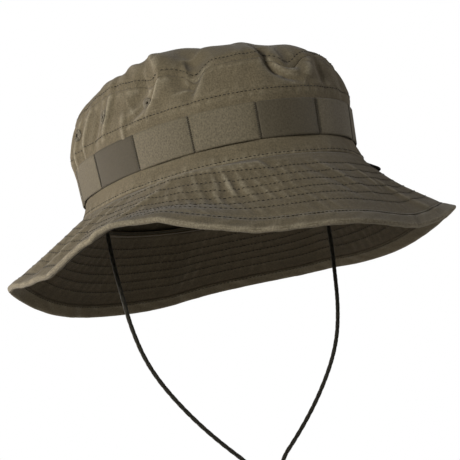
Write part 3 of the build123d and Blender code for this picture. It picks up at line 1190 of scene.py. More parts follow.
class BrimSurface(ClothSurface):
    """The brim's upper face, by length round the oval and distance down the slope from the seam."""

    quilt_rows = (11.2, 18.6, 25.6, 32.8, 40.2, 48.0)
    hem_row = 60.2
    unrolled_radius = 102.0
    puckered = (-54.0, 28.0)
    creases = (
        Crease((-35, 2), (-29, 11), -1.6, 2.4, 0.0, 2.2),
        Crease((-116, 9), (-36, 6), 3.2, 6.0),
        Crease((-100, 38), (-44, 34), -5.5, 15.0),
        Crease((-118, 72), (-92, 70), 4.5, 14.0),
        Crease((-80, 72), (-58, 72), -3.5, 12.0),
        Crease((-128, 8), (-150, 46), 2.4, 4.5),
        Crease((-136, 14), (-160, 66), -2.4, 4.5),
        Crease((-146, 6), (-172, 64), 2.6, 4.5),
        Crease((-162, 10), (-186, 60), -2.0, 4.5),
        Crease((-176, 4), (-200, 66), 2.2, 5.0),
        Crease((-208, 8), (-216, 50), -1.6, 5.0),
        Crease((-92, 14), (-122, 50), 1.6, 3.5),
        Crease((36, 24), (62, 60), 1.8, 3.0, 0.0, 1.6),
        Crease((24, 14), (36, 34), 1.2, 2.5),
        Crease((56, 30), (76, 56), -1.4, 4.0),
        Crease((72, 12), (96, 50), -4.0, 12.0),
        Crease((92, 30), (104, 56), 1.6, 3.0),
        Crease((56, 74), (130, 74), 3.0, 8.0),
        Crease((118, 30), (112, 68), 2.0, 6.0),
        Crease((-8, 14), (14, 44), -1.0, 3.0),
        Crease((0, 10), (24, 42), 1.0, 3.0),
        Crease((200, 10), (212, 64), 2.0, 8.0),
        Crease((-232, 8), (-240, 66), 1.8, 8.0),
        Crease((296, 12), (300, 62), -1.8, 9.0),
    )

    def base(self, across: np.ndarray, up: np.ndarray) -> np.ndarray:
        """Points of the smooth brim, level inside the seam and sloping outside it.

        Args:
            across: Lengths round the oval from the front, in millimetres.
            up: Distances down the slope from the brim seam.

        Returns:
            The points, in millimetres.
        """
        slope = np.maximum(up, 0.0)
        fall = self.pattern.droop(across)
        out = self.pattern.out_at_seam + np.minimum(up, 0.0) + slope * np.cos(fall)
        return self.pattern.oval(across, out, -slope * np.sin(fall))

    def facing(self, across: np.ndarray, up: np.ndarray) -> np.ndarray:
        """The brim's normals, which face up and outwards."""
        return -super().facing(across, up)

    def relief(self, across: np.ndarray, up: np.ndarray) -> np.ndarray:
        """Folds, the quilting's grooves and pillows, and its slanting puckers.

        Args:
            across: Lengths round the oval from the front, in millimetres.
            up: Distances down the slope from the brim seam.

        Returns:
            How far each point stands out of the base, in millimetres.
        """
        p = self.pattern
        total = 0.0
        for crease in self.creases:
            total = total + crease.lift(across, up, p.girth)
        total = total + 0.8 * ripple(across, up * 0.3, 60, 31, p.girth)
        inside = np.clip(up / 8, 0, 1) * np.clip((p.brim_width - p.hem_width - up) / 4, 0, 1)
        slant = ripple(across, up, 6.0, 33, p.girth, -0.25, 0.2, 18)
        level = 0.5 + 0.5 * ripple(across, 0.2 * up, 60, 34, p.girth)
        apart = (across - self.puckered[0] + p.girth / 2) % p.girth - p.girth / 2
        drawn = np.exp(-((apart / 34) ** 2) - ((up - self.puckered[1]) / 17) ** 2)
        total = total + slant * inside * (0.22 * np.clip(level, 0.1, 1.0) + 0.5 * drawn)
        grooves = -0.5 * np.exp(-(((up - self.hem_row) / 1.6) ** 2))
        for row in self.quilt_rows:
            pinch = np.exp(-(((up - row) / 1.1) ** 2))
            grooves = grooves - pinch * (0.22 + 0.12 * ripple(across, 0 * up, 5.8, 35, p.girth, 0.0, 0.2))
        seam = -0.5 * np.exp(-(((up - 0.2) / 0.9) ** 2)) - 0.3 * np.exp(-(((up - 2.2) / 0.9) ** 2))
        return total * np.clip(up / 5, 0, 1) + grooves + seam * (up > -1)

    def cloth_coordinates(self, across: np.ndarray, up: np.ndarray) -> np.ndarray:
        """The brim is cut as a flat ring, so its cloth coordinates go round one.

        Args:
            across: Lengths round the oval from the front, in millimetres.
            up: Distances down the slope from the brim seam.

        Returns:
            The coordinates on the flat ring.
        """
        turn = self.pattern.azimuth(across)
        radius = self.unrolled_radius + up
        return np.stack([radius * np.sin(turn), -radius * np.cos(turn)], axis=-1)


# ------------------------------------------------------------------------------------------ sewing


@dataclass
class Seamstress:
    """Collects stitches and makes one thread piece of them."""

    pitch: float = 2.9
    thread: float = 0.6
    gap: float = 0.17
    sides: int = 6
    points: list[np.ndarray] = field(default_factory=list)
    painted_shade: list[np.ndarray] = field(default_factory=list)

    def stitches(self, starts: np.ndarray, ends: np.ndarray, facing: np.ndarray, crest: float = 0.3) -> None:
        """Lay stitches between needle holes.

        Args:
            starts: Where each one comes up through the cloth.
            ends: Where it goes down.
            facing: The cloth's normal there.
            crest: How high the middle of the thread stands.
        """
        stations = np.array([0.0, 0.1, 0.3, 0.5, 0.7, 0.9, 1.0])
        height = np.array([-0.45, 0.02, 0.75, 1.0, 0.75, 0.02, -0.45]) * crest
        swell = np.array([0.35, 0.8, 1.0, 1.0, 1.0, 0.8, 0.35]) * self.thread / 2
        line = starts[:, None] + (ends - starts)[:, None] * stations[None, :, None]
        line = line + facing[:, None] * height[None, :, None]
        sideways = unit(np.cross(facing, ends - starts))
        angle = 2 * math.pi * np.arange(self.sides) / self.sides
        ring = sideways[:, None, None] * np.cos(angle)[None, None, :, None]
        ring = ring + facing[:, None, None] * np.sin(angle)[None, None, :, None]
        self.points.append(line[:, :, None] + ring * swell[None, :, None, None])
        # Painted shade: each stitch darkens towards its ends, where it dives into its needle holes.
        painted_shade_tone = np.clip(np.abs(stations - 0.5) * 2.6 - 0.62, 0, 1)
        self.painted_shade.append(np.broadcast_to(painted_shade_tone[None, :, None], self.points[-1].shape[:3]))

    def row(self, surface: ClothSurface, up: float, lift: float = 0.0, under: bool = False) -> None:
        """Sew once round the hat at one height.

        Args:
            surface: The cloth that is sewn.
            up: The row's height or distance down the slope.
            lift: How far the sewn face stands off the surface.
            under: Whether the sewn face looks the other way.
        """
        slope = surface.base(np.zeros(1), np.array([up]))
        stretch = np.linalg.norm(surface.base(np.array([1.0]), np.array([up])) - slope)
        count = round(surface.pattern.girth * stretch / self.pitch)
        draw = np.random.default_rng(int(up * 100) + 7)
        places = np.arange(count + 1) * surface.pattern.girth / count
        places[1:-1] += draw.normal(0, 0.09, count - 1)
        wander = up + draw.normal(0, 0.07, count + 1)
        wander[-1] = wander[0]
        holes = surface.point(places, wander, lift)
        facing = surface.facing(places, wander) * (-1 if under else 1)
        gap = self.gap * (holes[1:] - holes[:-1])
        self.stitches(holes[:-1] + gap, holes[1:] - gap, unit(facing[1:] + facing[:-1]))

    def piece(self, name: str, finish: Finish, replaces: tuple[str, ...] = ()) -> bpy.types.Object:
        """Make the thread piece.

        Args:
            name: The piece's name.
            finish: The thread's finish.
            replaces: The CAD nodes that it stands for.

        Returns:
            The new object.
        """
        points = np.concatenate(self.points)
        painted_shade = np.concatenate(self.painted_shade)
        count, rings, sides = points.shape[:3]
        one = grid_faces(rings, sides, True)
        offsets = (np.arange(count) * rings * sides)[:, None, None]
        faces = (one[None] + offsets).reshape(-1, 4)
        flat = np.array([[0, 1, 2, 3], [3, 4, 5, 0]])
        caps = np.concatenate([flat[:, ::-1], flat + (rings - 1) * sides])
        faces = np.concatenate([faces, (caps[None] + offsets).reshape(-1, 4)])
        lengths, widths = np.linspace(0, self.pitch, rings), np.arange(sides) * 0.2
        local = np.stack(np.meshgrid(lengths, widths, indexing="ij"), -1)
        grain = np.broadcast_to(local.reshape(1, -1, 2), (count, rings * sides, 2)).reshape(-1, 2)[faces]
        points, faces, grain = points.reshape(-1, 3), faces[:, ::-1], grain[:, ::-1]
        return add_piece(name, points, faces, finish, Body.HAT, replaces, grain, painted_shade.ravel())


# ------------------------------------------------------------------------------------ sub-assemblies


@dataclass
class Crown:
    """The crown: side band, top, the layers inside it, eyelets and sewing."""

    pattern: HatPattern
    columns: int = 640
    cloth: float = 0.95
    band_cloth: float = 0.75
    sweatband_cloth: float = 1.5
    sweatband_height: float = 32.0
    tape_height: float = 6.0
    top_cells: int = 200
    top_seam_draw: float = 3.0
    eyelet_azimuths: tuple[float, ...] = (68, 84, 100)
    eyelet_height: float = 57.5
    eyelet_hole: float = 2.2
    label_size: tuple[float, float] = (24.0, 16.0)
    label_thickness: float = 0.4

    def __post_init__(self) -> None:
        """Lay out the two faces of cloth."""
        self.side = CrownSurface(self.pattern)
        self.top = TipSurface(self.pattern)

    def eyelet_places(self, side: Side) -> list[float]:
        """The lengths round the oval of one side's eyelets."""
        return [self.pattern.length_at(side.value * azimuth) for azimuth in self.eyelet_azimuths]

    def wall(
        self, name: str, finish: Finish, node: str, ends: tuple[float, float], depth: float, thick: float
    ) -> bpy.types.Object:
        """Make one layer of the crown's side.

        Args:
            name: The piece's name.
            finish: Its finish.
            node: The CAD node that it stands for.
            ends: Its lowest and highest height.
            depth: How far its outer face lies inside the crown's face.
            thick: Its thickness.

        Returns:
            The new object.
        """
        rows = max(4, round((ends[1] - ends[0]) / 0.9)) + 1
        across, wide = ring_lengths(self.pattern.girth, self.columns)
        up = np.linspace(*ends, rows)[:, None]
        outer = self.side.point(across, up, -depth).reshape(-1, 3)
        inner = self.side.point(across, up, -depth - thick).reshape(-1, 3)
        faces = grid_faces(rows, self.columns, True)
        grid = self.side.cloth_coordinates(wide, up).reshape(-1, 2)
        grain = grid[grid_faces(rows, self.columns + 1, False)]
        if depth == 0:
            keep = self.clear_of_eyelets(across, up, faces)
            faces, grain = faces[keep], grain[keep]
        rub = self.side.rub(*np.broadcast_arrays(across, up)).ravel()
        points, faces, grain = closed_shell(outer, inner, faces, grain)
        rub = np.concatenate([rub, 0 * rub])
        return add_piece(name, points, faces, finish, Body.HAT, (node,), grain, rub)

    def clear_of_eyelets(self, across: np.ndarray, up: np.ndarray, faces: np.ndarray) -> np.ndarray:
        """Which cells are not cut away for an eyelet.

        Args:
            across: Lengths round the oval, one for each column.
            up: Heights, one for each row.
            faces: The cells.

        Returns:
            A mask over the cells.
        """
        girth = self.pattern.girth
        spots = np.stack(np.broadcast_arrays(across, up), axis=-1).reshape(-1, 2)[faces[:, 0]]
        spots = spots + np.array([0.5 * girth / self.columns, 0.45])
        keep = np.ones(len(faces), bool)
        for side in Side:
            for place in self.eyelet_places(side):
                apart = (spots[:, 0] - place + girth / 2) % girth - girth / 2
                keep &= np.hypot(apart, spots[:, 1] - self.eyelet_height) > self.eyelet_hole
        return keep

    def make_layers(self) -> None:
        """Make the side band and the layers that line it."""
        p, gap = self.pattern, 0.05
        ends = (0.0, p.tip_seam)
        side = self.wall("crown_side_cloth", CROWN_CLOTH, "crown_side_band", ends, 0.0, self.cloth)
        p.girth * MM
        depth = self.cloth + gap
        ends = (0.3, p.stitch_row)
        self.wall("reinforcement_cloth", BAND_CLOTH, "reinforcement_band", ends, depth, self.band_cloth)
        ends = (p.tip_seam - self.tape_height, p.tip_seam - 0.3)
        self.wall("tip_seam_binding", HEM_CLOTH, "tip_seam_tape", ends, depth, self.band_cloth)
        depth += self.band_cloth + gap
        ends = (0.3, self.sweatband_height)
        band = self.wall("sweatband_cloth", BAND_CLOTH, "sweatband", ends, depth, self.sweatband_cloth)
        length = p.girth - 2 * math.pi * depth

    def make_top(self) -> None:
        """Make the crown's top from a square grid that is drawn out to the seam's oval."""
        cells = self.top_cells
        grid = np.linspace(-1, 1, cells + 1)
        x, y = np.meshgrid(grid, grid, indexing="xy")
        radius = np.maximum(np.abs(x), np.abs(y))
        tall = np.abs(y) > np.abs(x)
        with np.errstate(divide="ignore", invalid="ignore"):
            turn = np.where(tall, math.pi / 2 - math.pi / 4 * x / y, math.pi / 4 * y / x)
        turn = np.nan_to_num(turn) + np.where(tall, y < 0, x < 0) * math.pi
        across = (turn + math.pi / 2) / (2 * math.pi) * self.pattern.girth
        share = 1 - (1 - radius) ** 1.6
        outer = self.top.point(across, share).reshape(-1, 3)
        inner = self.top.point(across, share, -self.cloth).reshape(-1, 3)
        faces = grid_faces(cells + 1, cells + 1, False)
        grain = self.top.cloth_coordinates(across, share).reshape(-1, 2)[faces]
        rub = self.top.rub(across, share).ravel()
        points, faces, grain = closed_shell(outer, inner, faces, grain)
        rub = np.concatenate([rub, 0 * rub])
        top = add_piece("crown_top_cloth", points, faces, CROWN_CLOTH, Body.HAT, ("crown_tip",), grain, rub)

    def make_eyelets(self, side: Side) -> None:
        """Work the vent eyelets of one side: a satin-stitched ring round each hole.

        Args:
            side: The wearer's side that they are on.
        """
        turns, steps, strands = 196, 12, 28
        phi = np.arange(turns)[:, None] * 2 * math.pi / turns
        psi = np.arange(steps)[None, :] * 2 * math.pi / steps
        strand = np.cos(strands * phi)
        radius = 2.75 - 1.5 * np.cos(psi)
        height = 0.3 + 0.5 * np.sin(psi) + 0.16 * strand * np.clip(np.sin(psi), 0, 1)
        ring = grid_faces(turns + 1, steps, True) % (turns * steps)
        points, faces = [], []
        for number, place in enumerate(self.eyelet_places(side)):
            across, up = place + radius * np.cos(phi), self.eyelet_height + radius * np.sin(phi)
            points.append(self.side.point(across, up, height).reshape(-1, 3))
            faces.append(ring[:, ::-1] + number * turns * steps)
        # Painted shade: darker where the ring sinks into the cloth and between its satin strands.
        painted_shade_tone = np.clip(0.3 - 0.3 * np.sin(psi) - 0.55 * strand, 0, 1).ravel()
        name, node = (f"{stem}_{side.name.lower()}" for stem in ("vent_eyelet_stitching", "vent_eyelets"))
        rub = np.tile(painted_shade_tone, len(points))
        points, faces = np.concatenate(points), np.concatenate(faces)
        add_piece(name, points, faces, EYELET_THREAD, Body.HAT, (node,), rub=rub)

    def make_label(self) -> None:
        """Make the blank woven tag inside the back of the sweatband."""
        wide, tall = self.label_size
        depth = self.cloth + self.band_cloth + self.sweatband_cloth + 0.15
        across = self.pattern.girth / 2 + np.linspace(-wide / 2, wide / 2, 49)[None, :]
        up = self.pattern.webbing_bottom + np.linspace(0, tall, 33)[:, None]
        outer = self.side.point(across, up, -depth).reshape(-1, 3)
        inner = self.side.point(across, up, -depth - self.label_thickness).reshape(-1, 3)
        faces = grid_faces(33, 49, False)
        grain = self.side.cloth_coordinates(across, up).reshape(-1, 2)[faces]
        points, faces, grain = closed_shell(outer, inner, faces, grain)
        add_piece("blank_label", points, faces, LABEL_CLOTH, Body.HAT, ("size_label",), grain)

    def sew(self) -> None:
        """Sew the crown's rows."""
        p = self.pattern
        rows = Seamstress()
        rows.row(self.side, p.stitch_row)
        rows.row(self.side, 2.2)
        rows.piece("crown_topstitching", SEWING_THREAD)
        top = Seamstress()
        count = round(p.girth / top.pitch)
        places = np.arange(count + 1) * p.girth / count
        share = np.full(count + 1, 1 - self.top.stitch_inset / self.top.reach)
        holes, facing = self.top.point(places, share), self.top.facing(places, share)
        gap = top.gap * (holes[1:] - holes[:-1])
        top.stitches(holes[:-1] + gap, holes[1:] - gap, unit(facing[1:] + facing[:-1]))
        top.piece("top_seam_topstitching", SEWING_THREAD)

    def build(self) -> None:
        """Make every piece of the crown."""
        self.make_layers()
        self.make_top()
        for side in Side:
            self.make_eyelets(side)
        self.make_label()
        self.sew()


@dataclass
class WebbingBand:
    """The band of webbing loops and the bartacks that divide it."""

    pattern: HatPattern
    columns: int = 1120
    rows: int = 29
    thickness: float = 0.9
    tack_width: float = 1.8
    zigzag_pitch: float = 0.72
    # Painted shade on each loop: how far it is darkened towards the tape's shaded colour.
    painted_loop_shade: tuple[float, ...] = (0.1, 0.2, 0.0, 0.3, 0.1, 0.0, 0.2, 0.0, 0.2, 0.1, 0.66, 0.06, 0.0, 0.5)

    def make_tape(self) -> None:
        """Make the tape, with a rounded selvedge along each edge."""
        p = self.pattern
        face = WebbingSurface(p)
        low, high = p.webbing_bottom, p.webbing_bottom + p.webbing_width
        across, wide = ring_lengths(p.girth, self.columns)
        up = np.linspace(low, high, self.rows)[:, None]
        edge = np.minimum(up - low, high - up)
        round_off = -0.5 * np.exp(-((edge / 0.45) ** 2))
        outer = face.point(across, up, round_off).reshape(-1, 3)
        inner = face.point(across, up, -self.thickness - round_off * 0.4).reshape(-1, 3)
        faces = grid_faces(self.rows, self.columns, True)
        grid = face.cloth_coordinates(wide, up).reshape(-1, 2)
        grain = grid[grid_faces(self.rows, self.columns + 1, False)]
        points, faces, grain = closed_shell(outer, inner, faces, grain)
        index, _ = face.panel(across)
        # Painted shade: each loop takes its own share of the tape's shaded colour.
        rub = np.broadcast_to(np.array(self.painted_loop_shade)[index], (self.rows, self.columns)).ravel()
        rub = np.concatenate([rub, 0 * rub])
        add_piece("webbing_loop_tape", points, faces, TAPE, Body.HAT, ("webbing_loop_band",), grain, rub)

    def make_bartacks(self) -> None:
        """Sew a dense zigzag over each join between loops."""
        p = self.pattern
        face = WebbingSurface(p)
        thread = Seamstress(thread=0.5)
        strokes = round((p.webbing_width - 0.6) / self.zigzag_pitch)
        up = p.webbing_bottom + 0.3 + np.arange(strokes + 1) * self.zigzag_pitch
        swing = np.where(np.arange(strokes + 1) % 2 == 0, -0.5, 0.5) * self.tack_width
        for tack in range(p.loops):
            across = p.first_bartack + tack * p.girth / p.loops + swing
            holes = face.point(across, up, 0.1)
            facing = face.facing(across, up)
            thread.stitches(holes[:-1], holes[1:], unit(facing[:-1] + facing[1:]), 0.22)
        thread.piece("webbing_bartack_stitching", BARTACK_THREAD, ("webbing_bartacks",))

    def build(self) -> None:
        """Make the tape and its bartacks."""
        self.make_tape()
        self.make_bartacks()


@dataclass
class Brim:
    """The quilted brim: two cloths over a stiffener, and a folded hem round its edge."""

    pattern: HatPattern
    columns: int = 900
    cloth: float = 0.8
    stiffener: float = 1.1
    total: float = 3.0
    hem_cloth: float = 0.6
    bend_inset: float = 1.2
    bend_radius: float = 1.7
    blank_share: float = 0.87

    def __post_init__(self) -> None:
        """Lay out the brim's face."""
        self.face = BrimSurface(self.pattern)

    def layer(self, name: str, finish: Finish, node: str, depth: float, thick: float) -> None:
        """Make one layer of the brim.

        Args:
            name: The piece's name.
            finish: Its finish.
            node: The CAD node that it stands for.
            depth: How far it lies under the brim's face.
            thick: Its thickness.
        """
        p = self.pattern
        turned_in, seen = np.linspace(-p.seam_allowance, -1, 5), np.linspace(0, p.brim_width, 88)
        up = np.concatenate([turned_in, seen])[:, None]
        across, wide = ring_lengths(p.girth, self.columns)
        outer = self.face.point(across, up, -depth).reshape(-1, 3)
        inner = self.face.point(across, up, -depth - thick).reshape(-1, 3)
        faces = grid_faces(len(up), self.columns, True)[:, ::-1]
        grid = self.face.cloth_coordinates(wide, up).reshape(-1, 2)
        grain = grid[grid_faces(len(up), self.columns + 1, False)[:, ::-1]]
        points, faces, grain = closed_shell(outer, inner, faces, grain)
        rub = self.face.rub(*np.broadcast_arrays(across, up)).ravel()
        rub = np.concatenate([rub, 0.5 * rub])
        made = add_piece(name, points, faces, finish, Body.HAT, (node,), grain, rub)
        flat, area = self.flat_blank()

    def flat_blank(self) -> tuple[tuple[float, float], float]:
        """Lay one brim cloth flat: a ring cut on an arc, wider round its edge than round the head.

        Returns:
            The width and length that it is cut from, in metres, and its own area in square metres.
        """
        p = self.pattern
        fall = float(np.mean(np.radians(p.brim_droop)))
        outer_edge = p.girth + 2 * math.pi * p.brim_width * math.cos(fall)
        area = (p.girth * p.seam_allowance + (p.girth + outer_edge) / 2 * p.brim_width) * MM**2
        sweep = (outer_edge - p.girth) / p.brim_width
        length = 2 * outer_edge / sweep * MM
        return (self.blank_share * length, length), area

    def make_hem(self) -> None:
        """Make the folded hem: a leg on each face of the brim, and a bend round its edge."""
        p = self.pattern
        start, end, under, thick = p.brim_width - p.hem_width, p.brim_width, -self.total, self.hem_cloth
        bend, inner_radius = end - self.bend_inset, self.bend_radius - thick
        reach = np.linspace(start, bend, 14)
        turn = np.radians(np.linspace(80, -80, 7))
        middle, half = under / 2, -under / 2
        bend_lift = middle + (half + thick) * np.sin(turn)
        along = np.concatenate([reach, bend + self.bend_radius * np.cos(turn), reach[::-1]])
        lift = np.concatenate([np.full(14, thick), bend_lift, np.full(14, under - thick)])
        along_in = np.concatenate([reach, bend + inner_radius * np.cos(turn), reach[::-1]])
        bend_in = middle + (half + 0.04) * np.sin(turn)
        lift_in = np.concatenate([np.full(14, 0.04), bend_in, np.full(14, under - 0.04)])
        lift[0], lift[-1] = thick * 0.7, under - thick * 0.7
        loop_along = np.concatenate([along, along_in[::-1]])[:, None]
        loop_lift = np.concatenate([lift, lift_in[::-1]])[:, None]
        rows = len(loop_along)
        across, wide = ring_lengths(p.girth, self.columns)
        roping = ripple(across, 1.4 * loop_along, 9, 51, p.girth, 0.5, 0.35, 16)
        roping = roping * 0.22 * np.clip((loop_along - start) / 2, 0, 1)
        stitch = -0.28 * np.exp(-(((loop_along - self.face.hem_row) / 0.8) ** 2))
        stitch = stitch * np.sign(loop_lift - middle)
        outside = (np.arange(rows) < len(along))[:, None]
        lifted = loop_lift + np.where(outside, roping + stitch, 0.0)
        points = self.face.point(across, loop_along, lifted).reshape(-1, 3)
        cells = grid_faces(rows + 1, self.columns, True) % (rows * self.columns)
        round_trip = np.concatenate([loop_along[:, 0], loop_along[:1, 0]])
        path = np.cumsum(np.abs(np.diff(round_trip)) + 0.3)
        rise = np.concatenate([[0.0], path])[:, None]
        grid = np.stack(np.broadcast_arrays(wide * 1.45, rise), axis=-1).reshape(-1, 2)
        grain = grid[grid_faces(rows + 1, self.columns + 1, False)]
        # Lighter along the brim's folded edge and on the roping's ridges.
        edge = np.where(outside, np.exp(-(((loop_along - end) / 1.4) ** 2)) * 0.7, 0.0)
        rub = np.clip(edge + 0.8 * np.clip(roping, 0, 1), 0, 1) + 0 * across
        cells, grain, rub = cells[:, ::-1], grain[:, ::-1], rub.ravel()
        add_piece("brim_hem_fold", points, cells, HEM_CLOTH, Body.HAT, ("brim_edge_binding",), grain, rub)

    def sew(self) -> None:
        """Sew the quilting, the seam and the hem on both faces."""
        upper, lower = Seamstress(), Seamstress()
        for row in self.face.quilt_rows:
            upper.row(self.face, row)
            lower.row(self.face, row, -self.total, True)
        upper.row(self.face, self.face.hem_row, self.hem_cloth - 0.2)
        lower.row(self.face, self.face.hem_row, -self.total - self.hem_cloth, True)
        upper.piece("brim_top_stitching", SEWING_THREAD)
        lower.piece("brim_under_stitching", SEWING_THREAD)

    def build(self) -> None:
        """Make every piece of the brim."""
        gap = 0.05
        self.layer("brim_top_cloth", BRIM_CLOTH, "brim_top", 0.0, self.cloth)
        self.layer("brim_stiffener", STIFFENER, "brim_interlining", self.cloth + gap, self.stiffener)
        depth = self.cloth + self.stiffener + 2 * gap
        self.layer("brim_under_cloth", SHADED_UNDERSIDE_CLOTH, "brim_bottom", depth, self.total - depth)
        self.make_hem()
        self.sew()


@dataclass
class Braid:
    """A braided cord that is drawn along a line of points."""

    radius: float = 1.5
    sides: int = 20
    step: float = 0.45
    strands: int = 8
    braid_pitch: float = 7.0
    depth: float = 0.09

    def tube(self, line: np.ndarray) -> tuple[np.ndarray, np.ndarray, np.ndarray, np.ndarray, np.ndarray]:
        """Draw the cord's skin.

        Args:
            line: The points that it follows, in millimetres.

        Returns:
            Its points, faces, cloth coordinates and painted shade between the strands, and the line at an
            even step.
        """
        lengths = np.concatenate([[0.0], np.cumsum(np.linalg.norm(np.diff(line, axis=0), axis=1))])
        count = round(lengths[-1] / self.step) + 1
        even = np.linspace(0, lengths[-1], count)
        path = np.stack([np.interp(even, lengths, line[:, k]) for k in range(3)], axis=1)
        ahead = unit(np.gradient(path, axis=0))
        sideways = np.empty_like(path)
        guide = unit(np.cross(ahead[0], [0.31, 0.87, 0.39]))
        for number, forward in enumerate(ahead):
            guide = unit(guide - forward * (guide @ forward))
            sideways[number] = guide
        third = np.cross(ahead, sideways)
        angle = 2 * math.pi * np.arange(self.sides) / self.sides
        phase = 2 * math.pi * even[:, None] / self.braid_pitch
        left, right = np.cos(self.strands / 2 * angle + phase), np.cos(self.strands / 2 * angle - phase)
        weave = np.maximum(left, right)
        cap = np.clip(np.minimum(even, even[-1] - even) / self.radius, 0.0, 1.0)
        swell = np.sqrt(1 - (1 - cap) ** 2) * 0.94 + 0.06
        size = self.radius * swell[:, None] * (1 + self.depth * (weave - 0.75))
        ring = sideways[:, None] * np.cos(angle)[None, :, None]
        ring = ring + third[:, None] * np.sin(angle)[None, :, None]
        points = (path[:, None] + ring * size[..., None]).reshape(-1, 3)
        faces = grid_faces(count, self.sides, True)[:, ::-1]
        fan = np.arange(self.sides // 2 - 1)
        lid = np.stack([fan, fan + 1, self.sides - 2 - fan, self.sides - 1 - fan], axis=1)
        faces = np.concatenate([faces, lid, lid[:, ::-1] + (count - 1) * self.sides])
        girth = 2 * math.pi * self.radius / self.sides
        grid = np.stack(np.meshgrid(even, np.arange(self.sides) * girth, indexing="ij"), -1).reshape(-1, 2)
        # The fourth value is painted shade in the grooves between the strands.
        return points, faces, grid[faces], np.clip(0.8 - weave, 0, 1).ravel(), path


@dataclass
class ChinCord:
    """The two strands of the chin cord, their tabs, the knot, the lock and the spare bight."""

    exit_x: float = 92.0
    exit_z: float = -16.0
    plane: float = 12.0
    strand_offset: float = 1.8
    tail_end: float = -251.0
    tip_end: float = -264.3
    diameter: float = 3.0
    length: float = 263.5
    knot_radius: float = 5.5
    tab_size: tuple[float, float] = (10.0, 4.4)
    bight_azimuth: float = 62.0
    bight_reach: float = 13.0
    bight_droop: float = 30.0

    @property
    def route(self) -> list[tuple[float, float]]:
        """The line of one strand, as distances out from the middle and heights.

        Returns:
            The line's control points, from the tab to the tail.
        """
        return [
            (self.exit_x, self.exit_z),
            (self.exit_x, -35.0),
            (89.5, -60.0),
            (86.5, -86.0),
            (79.0, -112.0),
            (63.0, -138.0),
            (38.0, -167.0),
            (self.strand_offset, -199.0),
            (self.strand_offset, self.tail_end),
        ]

    def centreline(self, side: Side) -> np.ndarray:
        """The points of one strand's smooth line, in millimetres.

        Args:
            side: Which of the two.

        Returns:
            The points, from the tab to the tail.
        """
        curve = bpy.data.curves.new("strand_line", "CURVE")
        curve.dimensions = "3D"
        curve.resolution_u = 24
        spline = curve.splines.new("NURBS")
        spline.points.add(len(self.route) - 1)
        for point, (x, z) in zip(spline.points, self.route):
            point.co = (side.value * x * MM, self.plane * MM, z * MM, 1.0)
        spline.order_u = 3
        spline.use_endpoint_u = True
        holder = bpy.data.objects.new("strand_line", curve)
        mesh = bpy.data.meshes.new_from_object(holder)
        points = np.array([vertex.co[:] for vertex in mesh.vertices]) / MM
        bpy.data.objects.remove(holder)
        bpy.data.meshes.remove(mesh)
        bpy.data.curves.remove(curve)
        return points

    def make_strand(self, side: Side) -> tuple[bpy.types.Object, np.ndarray]:
        """Make one strand.

        Args:
            side: Which of the two.

        Returns:
            The strand and the line that it follows, in metres.
        """
        name = side.name.lower()
        points, faces, grain, painted_shade, path = Braid(radius=self.diameter / 2).tube(self.centreline(side))
        node = f"chin_cord_{name}"
        stem = f"chin_strand_{name}"
        strand = add_piece(stem, points, faces, CORD_BRAID, Body.CHIN_LOOP, (node,), grain, painted_shade)
        return strand, path * MM

    def make_knot(self) -> bpy.types.Object:
        """Tie the stopper knot: one overhand turn of both tails, with their sealed tips below.

        Returns:
            The knot.
        """
        turn = np.linspace(0, 2 * math.pi, 181)
        flat, tall = 3.1, 2.2
        middle = self.tail_end - 3.6
        knot = np.stack(
            [
                (flat + 1.1 * np.cos(3 * turn)) * np.cos(2 * turn),
                self.plane + (flat + 1.1 * np.cos(3 * turn)) * np.sin(2 * turn) * 0.95,
                middle + tall * np.sin(3 * turn),
            ],
            axis=1,
        )
        braid = Braid(radius=1.45, step=0.4)
        parts = [braid.tube(knot)[:4]]
        for side in Side:
            x = side.value * self.strand_offset
            tip = (x, middle + 2.5), (x * 0.9, middle - 4), (x * 1.1, self.tip_end)
            parts.append(braid.tube(np.array([[x, self.plane, z] for x, z in tip]))[:4])
        offsets = np.cumsum([0] + [len(part[0]) for part in parts[:-1]])
        return add_piece(
            "stopper_knot",
            np.concatenate([part[0] for part in parts]),
            np.concatenate([part[1] + offset for part, offset in zip(parts, offsets)]),
            CORD_BRAID,
            Body.CHIN_LOOP,
            ("cord_end_knot",),
            np.concatenate([part[2] for part in parts]),
            np.concatenate([part[3] for part in parts]),
        )

    def make_tab(self, side: Side) -> bpy.types.Object:
        """Fold the tape that hangs from the brim seam and holds a strand's round end.

        Args:
            side: Which of the two.

        Returns:
            The tab.
        """
        wide, thick = self.tab_size
        over = np.linspace(-1, 1, 41)[None, :]
        down = np.linspace(0, 1, 25)[:, None]
        groove = self.exit_z + np.sqrt(np.clip(1.75**2 - (wide / 2 * over) ** 2, 0, None))
        low = np.maximum(self.exit_z + 1.0 + 1.6 * np.abs(over) ** 6, groove)
        z = -3.0 + (low + 3.0) * down
        swell = np.sqrt(1 - 0.8 * np.abs(over) ** 8) * (0.78 + 0.22 * np.sin(math.pi * down**1.5))
        seam = 0.25 * np.exp(-(((down - 0.22) / 0.05) ** 2))
        half = thick / 2 * (swell - seam * np.abs(over) ** 0.5)
        middle = side.value * self.exit_x
        faces = grid_faces(25, 41, False)
        grain = np.stack(np.broadcast_arrays(wide / 2 * over, z), axis=-1).reshape(-1, 2)[faces]
        y = self.plane + wide / 2 * over
        outer = np.stack(np.broadcast_arrays(middle - half, y, z), axis=-1).reshape(-1, 3)
        inner = np.stack(np.broadcast_arrays(middle + half, y, z), axis=-1).reshape(-1, 3)
        points, faces, grain = closed_shell(outer, inner, faces, grain)
        name = side.name.lower()
        node = f"cord_tab_{name}"
        return add_piece(f"cord_tab_fold_{name}", points, faces, HEM_CLOTH, Body.HAT, (node,), grain)

